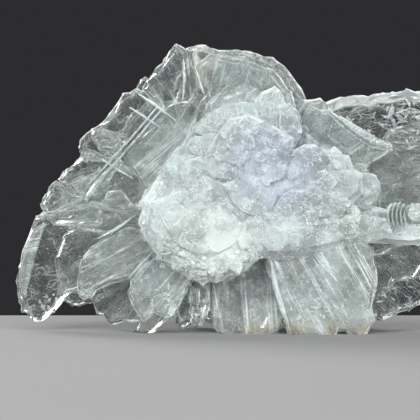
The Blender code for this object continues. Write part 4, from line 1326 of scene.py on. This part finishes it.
@dataclass
class Ridges(BladeGroup):
    """The narrow bright ridges where blades meet or have grown on.

    Attributes:
        hosts: The blades that they can stand on.
        wisps: How many wisps, short curved ridges, are tried on the clear blade at the far right.
        wisp_middle: The point that they gather round.
        wisp_spread: How far they scatter from it, to the right and up.
        wisp_radius: The smallest and the largest radius of their curve.
        wisp_sweep: How far they follow it, in radians.
        wisp_width: How narrow and how wide they are.
        ridges: The other ridges, one by one.
    """

    name: str = "ridges"
    finish: BariteFinish = CLOUDED
    seed: int = 14
    blades: list[Blade] = field(default_factory=list)
    wander: float = 0.10
    hosts: list[Blade] = field(default_factory=list)
    wisps: int = 90
    wisp_middle: Point = (27.6, 34.0)
    wisp_spread: Point = (2.2, 2.6)
    wisp_radius: Point = (0.9, 2.8)
    wisp_sweep: Point = (0.6, 1.7)
    wisp_width: Point = (0.10, 0.20)
    ridges: tuple[Ridge, ...] = (
        Ridge("lower_left_wing", [(-33.5, 18.3), (-34.9, 16.6), (-36.5, 13.5), (-37.1, 9.6), (-37.0, 6.2)],
              1.7, 0.10, 0.45),
        Ridge("diagonal_blade", [(-13.7, 37.7), (-17.4, 33.4), (-21.0, 29.3), (-26.0, 23.7)], 0.32),
        Ridge("diagonal_blade", [(-14.9, 37.6), (-18.4, 33.5), (-22.0, 29.5), (-26.2, 24.9)], 0.26),
        Ridge("diagonal_blade", [(-17.9, 39.9), (-15.0, 38.1), (-11.7, 35.5)], 0.30, 0.3),
        Ridge("diagonal_blade", [(-19.4, 37.7), (-17.0, 36.2), (-14.4, 34.4)], 0.22),
        Ridge("diagonal_blade", [(-24.0, 29.0), (-21.6, 27.4), (-18.8, 25.8)], 0.22),
        Ridge("front_fan_blade", [(3.9, 12.6), (4.6, 8.6), (5.7, 4.8), (7.1, 0.9)], 0.75, 0.35),
        Ridge("front_fan_blade", [(10.0, 15.9), (11.2, 13.6), (13.0, 11.2), (14.8, 9.1)], 1.2, 0.20, 0.8),
        Ridge("front_fan_blade", [(21.2, 11.4), (21.3, 8.9), (20.7, 6.3), (20.2, 4.4)], 0.35, 0.3),
        Ridge("front_fan_blade", [(7.8, 15.4), (10.2, 10.4), (13.6, 4.4), (14.8, 2.2)], 0.30, 0.15, 0.7),
        Ridge("front_fan_blade", [(6.6, 13.6), (8.4, 9.4), (10.6, 5.2)], 0.45, 0.15, 0.6),
        Ridge("skirt_plate", [(2.5, 13.8), (5.4, 15.4), (8.8, 17.2)], 0.30),
        Ridge("rosette_terrace", [(-15.0, 17.8), (-12.8, 20.0), (-10.3, 22.7)], 0.22, 0.25),
        Ridge("rosette_terrace", [(-14.6, 21.2), (-13.6, 18.6), (-12.2, 16.4)], 0.20, 0.25),
        Ridge("banded_blade", [(15.2, 36.2), (18.0, 33.9), (21.0, 32.0), (24.0, 31.0)], 0.9, 0.35, 0.8),
        Ridge("second_blade", [(-24.6, 15.9), (-21.4, 17.4), (-18.4, 19.8)], 0.26),
        Ridge("third_blade", [(-19.6, 9.4), (-17.0, 12.2), (-14.6, 14.6)], 0.40, 0.2, 0.7),
        Ridge("foot_blade", [(-5.5, 8.6), (-4.9, 5.2), (-4.0, 1.4)], 0.40, 0.2, 0.8),
        Ridge("crown_blade", [(-8.6, 47.3), (-7.9, 44.2), (-7.6, 40.4)], 1.4, 0.12, 0.55),
        Ridge("crown_blade", [(-10.4, 45.6), (-10.2, 42.4), (-10.6, 38.8)], 0.30, 0.2, 0.6),
    )

    def __post_init__(self) -> None:
        """Stands the ridges on their hosts."""
        by_name = {blade.name: blade for blade in self.hosts}
        ridges = list(self.ridges) + self._wisps(by_name["upper_right_wing"])
        self.blades = [ridge.blade(by_name[ridge.host], i + 1) for i, ridge in enumerate(ridges)]

    def _wisps(self, host: Blade) -> list[Ridge]:
        """Scatters short curved ridges on the clear blade at the far right.

        Args:
            host: The blade that they stand on.

        Returns:
            Those that lie wholly on it.
        """
        rng = random.Random(self.seed)
        wisps = []
        for _ in range(self.wisps):
            x, z = (rng.gauss(*place) for place in zip(self.wisp_middle, self.wisp_spread))
            radius, start = rng.uniform(*self.wisp_radius), rng.uniform(0, math.tau)
            sweep, width = rng.uniform(*self.wisp_sweep), rng.uniform(*self.wisp_width)
            turns = [start + sweep * k / 4 for k in range(5)]
            line = [(x + radius * math.cos(turn), z + 0.7 * radius * math.sin(turn)) for turn in turns]
            if all(host.covers(*point, 0.5) for point in line):
                wisps.append(Ridge(host.name, line, width, proud=0.14))
        return wisps


@dataclass
class Scales(BladeGroup):
    """Small thin scales that overlap on one side of the rosette, each leaning out from its heart.

    Attributes:
        under: The blades that they can lie on.
        count: How many there are, if they all find a place.
        side: The side that they lie on.
        milk: How cloudy they are.
        across: How far to the left and the right they can lie.
        up: How low and how high.
    """

    name: str = "front_scales"
    finish: BariteFinish = MILKY
    seed: int = 12
    blades: list[Blade] = field(default_factory=list)
    under: list[Blade] = field(default_factory=list)
    count: int = FRONT_SCALES
    side: Side = Side.FRONT
    milk: float = 0.6
    across: Point = (-15.0, 19.0)
    up: Point = (10.5, 37.0)

    def __post_init__(self) -> None:
        """Lays the scales out on the proudest blades."""
        rng = random.Random(SCALE_SEED)
        places: list[tuple[float, float, float, float]] = []
        tries = 0
        while len(places) < self.count and tries < 60 * self.count:
            tries += 1
            x, z = rng.uniform(*self.across), rng.uniform(*self.up)
            radius = rng.uniform(*SCALE_RADIUS)
            depths = [b.face_depth(x, z, self.side) for b in self.under if b.covers(x, z, radius)]
            near = any(math.hypot(x - p[0], z - p[1]) < SCALE_SPACING * (radius + p[2]) for p in places)
            if depths and not near:
                places.append((x, z, radius, max(depths, key=lambda y: y * self.side.value)))
        self.blades = [self._scale(rng, i, *place) for i, place in enumerate(places)]

    def _scale(self, rng: random.Random, i: int, x: float, z: float, radius: float, depth: float) -> Blade:
        """Makes one scale, which has 5 to 7 corners.

        Args:
            rng: The random numbers.
            i: Its number.
            x: Its place to the right.
            z: Its place up.
            radius: Its size.
            depth: Depth of the face that it sinks into.

        Returns:
            The scale as a blade.
        """
        corners = rng.choice((5, 6, 6, 7))
        turn, stretch = rng.uniform(0, math.tau), rng.uniform(1.0, 1.4)
        outline = []
        for k in range(corners):
            angle = turn + math.tau * k / corners
            reach = radius * rng.uniform(0.82, 1.12)
            outline.append((x + reach * math.cos(angle) * stretch, z + reach * math.sin(angle)))
        side = self.side.value
        outward = Vector((x - HEART[0], z - HEART[1])).normalized() * rng.uniform(0.0, 0.04) * side
        return Blade(
            f"{self.name}_{i + 1:02d}", outline, depth - side * 0.36 * SCALE_THICKNESS, SCALE_THICKNESS,
            swing=outward.x + rng.uniform(-0.03, 0.03), lean=outward.y + rng.uniform(-0.03, 0.03),
            chisel=0.3, milk=self.milk)


class Habit(Enum):
    """The shape that small crystals have: corners, length over width, and thickness over width."""

    SCALE = (6, 1.2, 0.12)
    LATH = (4, 3.2, 0.30)
    GRAIN = (5, 1.1, 0.45)


@dataclass(frozen=True)
class Patch:
    """A patch that is crowded with small crystals.

    Attributes:
        centre: Its middle, as (x, z) in millimetres.
        reach: Half its width and height.
        count: How many crystals it has.
        size: The smallest and the largest radius.
        tilt: How far they tilt out of the face, in degrees.
        milk: How cloudy they are.
        habit: Their shape.
    """

    centre: Point
    reach: Point
    count: int
    size: Point
    tilt: float
    milk: float
    habit: Habit = Habit.SCALE


FRONT_PATCHES = [
    Patch((-13.0, 13.8), (3.0, 2.6), 60, (0.20, 0.50), 32, 1.0, Habit.GRAIN),
    Patch((-8.6, 11.2), (3.2, 2.2), 70, (0.20, 0.50), 32, 1.1, Habit.GRAIN),
    Patch((-3.4, 11.2), (4.0, 2.0), 80, (0.20, 0.50), 32, 1.1, Habit.GRAIN),
    Patch((0.4, 13.4), (2.2, 2.4), 40, (0.20, 0.50), 32, 1.0, Habit.GRAIN),
    Patch((-16.0, 18.6), (1.8, 3.2), 40, (0.25, 0.55), 35, 0.8),
    Patch((-3.0, 22.5), (13.5, 11.0), 70, (0.50, 1.40), 3, 0.6),
    Patch((13.0, 24.0), (7.5, 7.5), 60, (0.40, 1.00), 5, 0.6),
    Patch((2.0, 33.0), (9.0, 5.5), 40, (0.40, 1.10), 4, 0.55),
    Patch((27.2, 34.6), (3.4, 4.2), 30, (0.14, 0.34), 60, 0.7, Habit.LATH),
    Patch((16.4, 35.3), (1.5, 0.9), 18, (0.10, 0.28), 40, 0.9, Habit.GRAIN),
    Patch((19.4, 33.1), (1.6, 0.9), 18, (0.10, 0.28), 40, 0.9, Habit.GRAIN),
    Patch((22.6, 31.5), (1.5, 0.7), 18, (0.10, 0.28), 40, 0.9, Habit.GRAIN),
    Patch((28.2, 20.4), (1.6, 1.4), 26, (0.20, 0.45), 40, 0.7),
    Patch((15.3, 20.2), (3.6, 2.2), 26, (0.25, 0.50), 14, 0.6, Habit.LATH),
    Patch((11.0, 4.2), (4.0, 3.0), 34, (0.12, 0.30), 50, 0.6, Habit.LATH),
    Patch((-29.0, 14.0), (6.0, 8.0), 90, (0.04, 0.11), 30, 0.6, Habit.GRAIN),
    Patch((-32.0, 5.0), (2.6, 1.8), 70, (0.10, 0.26), 45, 0.6, Habit.GRAIN),
    Patch((-25.5, 6.5), (3.0, 1.2), 40, (0.15, 0.35), 50, 0.7, Habit.GRAIN),
    Patch((-24.0, 28.0), (4.0, 5.5), 36, (0.08, 0.20), 15, 0.5, Habit.LATH),
    Patch((-11.5, 5.0), (5.0, 3.6), 40, (0.14, 0.35), 35, 0.6, Habit.LATH),
    Patch((24.5, 6.0), (6.0, 3.6), 26, (0.10, 0.24), 40, 0.5, Habit.LATH),
]
BACK_PATCHES = [
    Patch((2.0, 23.0), (11.0, 10.0), 70, (0.50, 1.40), 4, 0.5),
    Patch((2.0, 12.5), (9.0, 2.5), 50, (0.15, 0.40), 32, 0.8, Habit.GRAIN),
]


@dataclass
class Chips:
    """Small crystals that have grown on one side of the cluster.

    Attributes:
        name: The piece's name.
        side: The side that they grow on.
        patches: Where they crowd.
        seed: Start of the random numbers.
        finish: Their finish.
    """

    name: str
    side: Side
    patches: list[Patch]
    seed: int
    finish: BariteFinish = MILKY

    def build(self, materials: dict[str, bpy.types.Material], ground: list[bpy.types.Object]) -> None:
        """Sows the crystals on what is there.

        Args:
            materials: The materials by name.
            ground: The pieces that they grow on.
        """
        rng = random.Random(self.seed)
        bpy.context.view_layer.update()
        graph = bpy.context.evaluated_depsgraph_get()
        trees = [BVHTree.FromObject(piece, graph) for piece in ground]
        heap = Heap()
        for patch in self.patches:
            for _ in range(patch.count):
                turn, share = rng.uniform(0, math.tau), math.sqrt(rng.random())
                x = patch.centre[0] + patch.reach[0] * share * math.cos(turn) - ORIGIN.x
                z = patch.centre[1] + patch.reach[1] * share * math.sin(turn) - ORIGIN.z
                self._chip(heap, random.Random(rng.random()), patch, self._surface(trees, x, z))
        heap.finish(self.name, materials[self.finish.name])

    def _surface(self, trees: list[BVHTree], x: float, z: float) -> tuple[Vector, Vector] | None:
        """Finds the outermost face at (x, z).

        Args:
            trees: The search trees of the pieces.
            x: Place to the right, in millimetres.
            z: Place up.

        Returns:
            The point, in millimetres, and the way out of the face, or None where nothing is.
        """
        start = Vector((x * MM, self.side.value * RAY_START, z * MM))
        hits = [tree.ray_cast(start, Vector((0.0, -self.side.value, 0.0))) for tree in trees]
        hits = [hit for hit in hits if hit[0] is not None]
        if not hits:
            return None
        point, normal, _, _ = min(hits, key=lambda hit: hit[3])
        return point / MM, normal if normal.y * self.side.value > 0 else -normal

    def _chip(self, heap: Heap, rng: random.Random, patch: Patch, spot: tuple[Vector, Vector] | None) -> None:
        """Adds one crystal: a many-sided plate with a painted highlight round its border, sunk a little in
        the face.

        Args:
            heap: The heap to add it to.
            rng: The random numbers.
            patch: The patch it belongs to.
            spot: Its place and the way out of the face, or None for no crystal.
        """
        corners, length, thickness = patch.habit.value
        radius = rng.uniform(*patch.size)
        tip = Matrix.Rotation(math.radians(rng.uniform(-patch.tilt, patch.tilt)), 4, "X")
        turn = Matrix.Rotation(rng.uniform(0, math.tau), 4, "Z")
        if spot is None or spot[0].z < FOOT_CLEARANCE + radius * length:
            return
        point, outward = spot
        if abs(outward.y) < (FLATNESS if patch.habit is Habit.SCALE else 0.5 * FLATNESS):
            return
        bm = heap.start()
        bmesh.ops.create_circle(bm, cap_ends=True, segments=corners, radius=radius)
        lid = bm.faces[:][0]
        for vert in bm.verts:
            vert.co *= rng.uniform(0.75, 1.15)
        bmesh.ops.scale(bm, verts=bm.verts[:], vec=(length * rng.uniform(0.7, 1.3), 1.0, 1.0))
        grown = bmesh.ops.extrude_face_region(bm, geom=[lid])["geom"]
        top = next(part for part in grown if isinstance(part, bmesh.types.BMFace))
        bmesh.ops.translate(bm, verts=top.verts[:], vec=(0, 0, radius * thickness))
        bmesh.ops.recalc_face_normals(bm, faces=bm.faces[:])
        # The sides get rim 1 and edge 1, so the finish paints a highlight round the chip's border.
        for name, value in (("milk", patch.milk), ("rim", 1.0), ("facet", 0.0), ("edge", 1.0)):
            layer = bm.verts.layers.float[name]
            for vert in bm.verts:
                vert[layer] = value
        bmesh.ops.inset_region(bm, faces=[top], thickness=0.25 * radius, depth=0.06 * radius)
        for vert in top.verts:
            vert[bm.verts.layers.float["rim"]] = 0.0
        face_on = outward.to_track_quat("Z", "Y").to_matrix().to_4x4()
        sunk = Matrix.Translation(point - outward * radius * thickness * 0.4)
        bmesh.ops.transform(bm, matrix=sunk @ face_on @ tip @ turn, verts=bm.verts[:])
        start = Vector((rng.uniform(0, 90), rng.uniform(0, 90)))
        growth = bm.loops.layers.uv["growth"]
        for face in bm.faces:
            for loop in face.loops:
                loop[growth].uv = start + Vector((loop.vert.co.x, loop.vert.co.z + loop.vert.co.y))
        heap.add(bm)


@dataclass(frozen=True)
class Softbox:
    """A square lamp that faces the cluster.

    Attributes:
        name: Its name.
        place: Where it hangs, in metres.
        size: Its side, in metres.
        watts: Its power.
    """

    name: str
    place: Place
    size: float
    watts: float


@dataclass
class Studio:
    """Floor, light and camera, in metres.

    Attributes:
        aim: Point that the camera looks at.
        distance: How far away the camera stands.
        frame_width: Width of what it sees at the aim.
        elevation: How far above the horizon it stands, in degrees.
        floor_half: Half the floor's width and depth.
        floor_middle: Depth of the floor's middle, which lies in front of the cluster.
        light_aim: Height of the point that the softboxes face.
        floor_colour: Colour of the floor.
        room_colour: Colour of the dark room.
        softboxes: The lamps.
    """

    aim: Place = (-0.006, 0.0, 0.0202)
    distance: float = 0.45
    frame_width: float = 0.070
    elevation: float = 2.0
    floor_half: Point = (0.4, 0.3)
    floor_middle: float = -0.265
    light_aim: float = 0.024
    floor_colour: Colour = (0.25, 0.25, 0.25, 1.0)
    room_colour: Colour = (0.026, 0.026, 0.029, 1.0)
    softboxes: tuple[Softbox, ...] = (
        Softbox("key", (-0.90, -0.90, 0.58), 0.80, 15.5),
        Softbox("fill", (0.94, -0.85, 0.24), 1.05, 19.5),
        Softbox("front", (0.04, -0.66, 1.10), 0.80, 9.8),
        Softbox("top", (0.0, 0.70, 1.10), 1.0, 6.8),
        Softbox("back", (-0.92, 0.80, 0.50), 0.66, 19.0))

    def build(self) -> None:
        """Makes the floor, the lights, the room and the camera."""
        self._floor()
        for softbox in self.softboxes:
            self._hang(softbox)
        self._camera()
        world = bpy.data.worlds.new("room")
        world.use_nodes = True
        world.node_tree.nodes["Background"].inputs["Color"].default_value = self.room_colour
        scene = bpy.context.scene
        scene.world = world
        scene.view_settings.view_transform = "Standard"
        scene.cycles.max_bounces = 32
        scene.cycles.transmission_bounces = 32
        scene.cycles.diffuse_bounces = 4

    def _floor(self) -> None:
        """Makes the table top, which ends a little behind the cluster."""
        bm = bmesh.new()
        bmesh.ops.create_grid(bm, x_segments=1, y_segments=1, size=1.0)
        bmesh.ops.scale(bm, verts=bm.verts[:], vec=(*self.floor_half, 1.0))
        bmesh.ops.translate(bm, verts=bm.verts[:], vec=(0.0, self.floor_middle, 0.0))
        mesh = bpy.data.meshes.new("floor")
        bm.to_mesh(mesh)
        bm.free()
        floor = bpy.data.objects.new("floor", mesh)
        bpy.context.scene.collection.objects.link(floor)
        n = Nodes("floor_paint")
        mesh.materials.append(n.dress(n.make("ShaderNodeBsdfPrincipled", {}, {
            "Base Color": self.floor_colour, "Roughness": 1.0, "Specular IOR Level": 0.1})))

    def _hang(self, softbox: Softbox) -> None:
        """Hangs a softbox and turns it to the cluster.

        Args:
            softbox: The lamp.
        """
        light = bpy.data.lights.new(softbox.name, "AREA")
        light.size = softbox.size
        light.energy = softbox.watts
        lamp = bpy.data.objects.new(softbox.name, light)
        bpy.context.scene.collection.objects.link(lamp)
        self._point_at(lamp, Vector(softbox.place), Vector((0.0, 0.0, self.light_aim)))

    def _camera(self) -> None:
        """Sets the camera up in front of the cluster."""
        camera = bpy.data.cameras.new("camera")
        camera.sensor_width = 36.0
        camera.lens = camera.sensor_width * self.distance / self.frame_width
        camera.clip_start = 0.01
        seat = bpy.data.objects.new("camera", camera)
        bpy.context.scene.collection.objects.link(seat)
        rise = math.radians(self.elevation)
        away = Vector((0.0, -math.cos(rise), math.sin(rise))) * self.distance
        self._point_at(seat, Vector(self.aim) + away, Vector(self.aim))
        bpy.context.scene.camera = seat

    @staticmethod
    def _point_at(thing: bpy.types.Object, place: Vector, target: Vector) -> None:
        """Puts a lamp or the camera at a place, facing a target."""
        turn = (target - place).to_track_quat("-Z", "Y").to_matrix().to_4x4()
        thing.matrix_world = Matrix.Translation(place) @ turn


def corners(box: tuple[Vector, Vector]) -> list[list[float]]:
    """Returns a box's two corners as plain lists."""
    return [list(map(float, corner)) for corner in box]


def main() -> None:
    """Builds the cluster and the studio."""
    logging.basicConfig(level=logging.INFO, format="%(message)s")
    materials = {finish.name: finish.make() for finish in (CLEAR, CLOUDED, MILKY)}
    rosette, back_fan, back_rosette = Rosette(), BackFan(), BackRosette()
    front = [LeftWing(), Crown(), RightWing(), Foot(), rosette]
    hosts = [blade for group in front for blade in group.blades]
    groups = front + [
        back_fan, back_rosette, Lamellae(), Ridges(hosts=hosts), Scales(under=rosette.blades),
        Scales(name="back_scales", seed=13, under=back_fan.blades + back_rosette.blades, count=BACK_SCALES,
               side=Side.BACK)]
    ground = [group.build(materials) for group in groups]
    Chips("front_chips", Side.FRONT, FRONT_PATCHES, seed=21).build(materials, ground)
    Chips("back_chips", Side.BACK, BACK_PATCHES, seed=22).build(materials, ground)
    Studio().build()


if __name__ == "__main__":
    main()
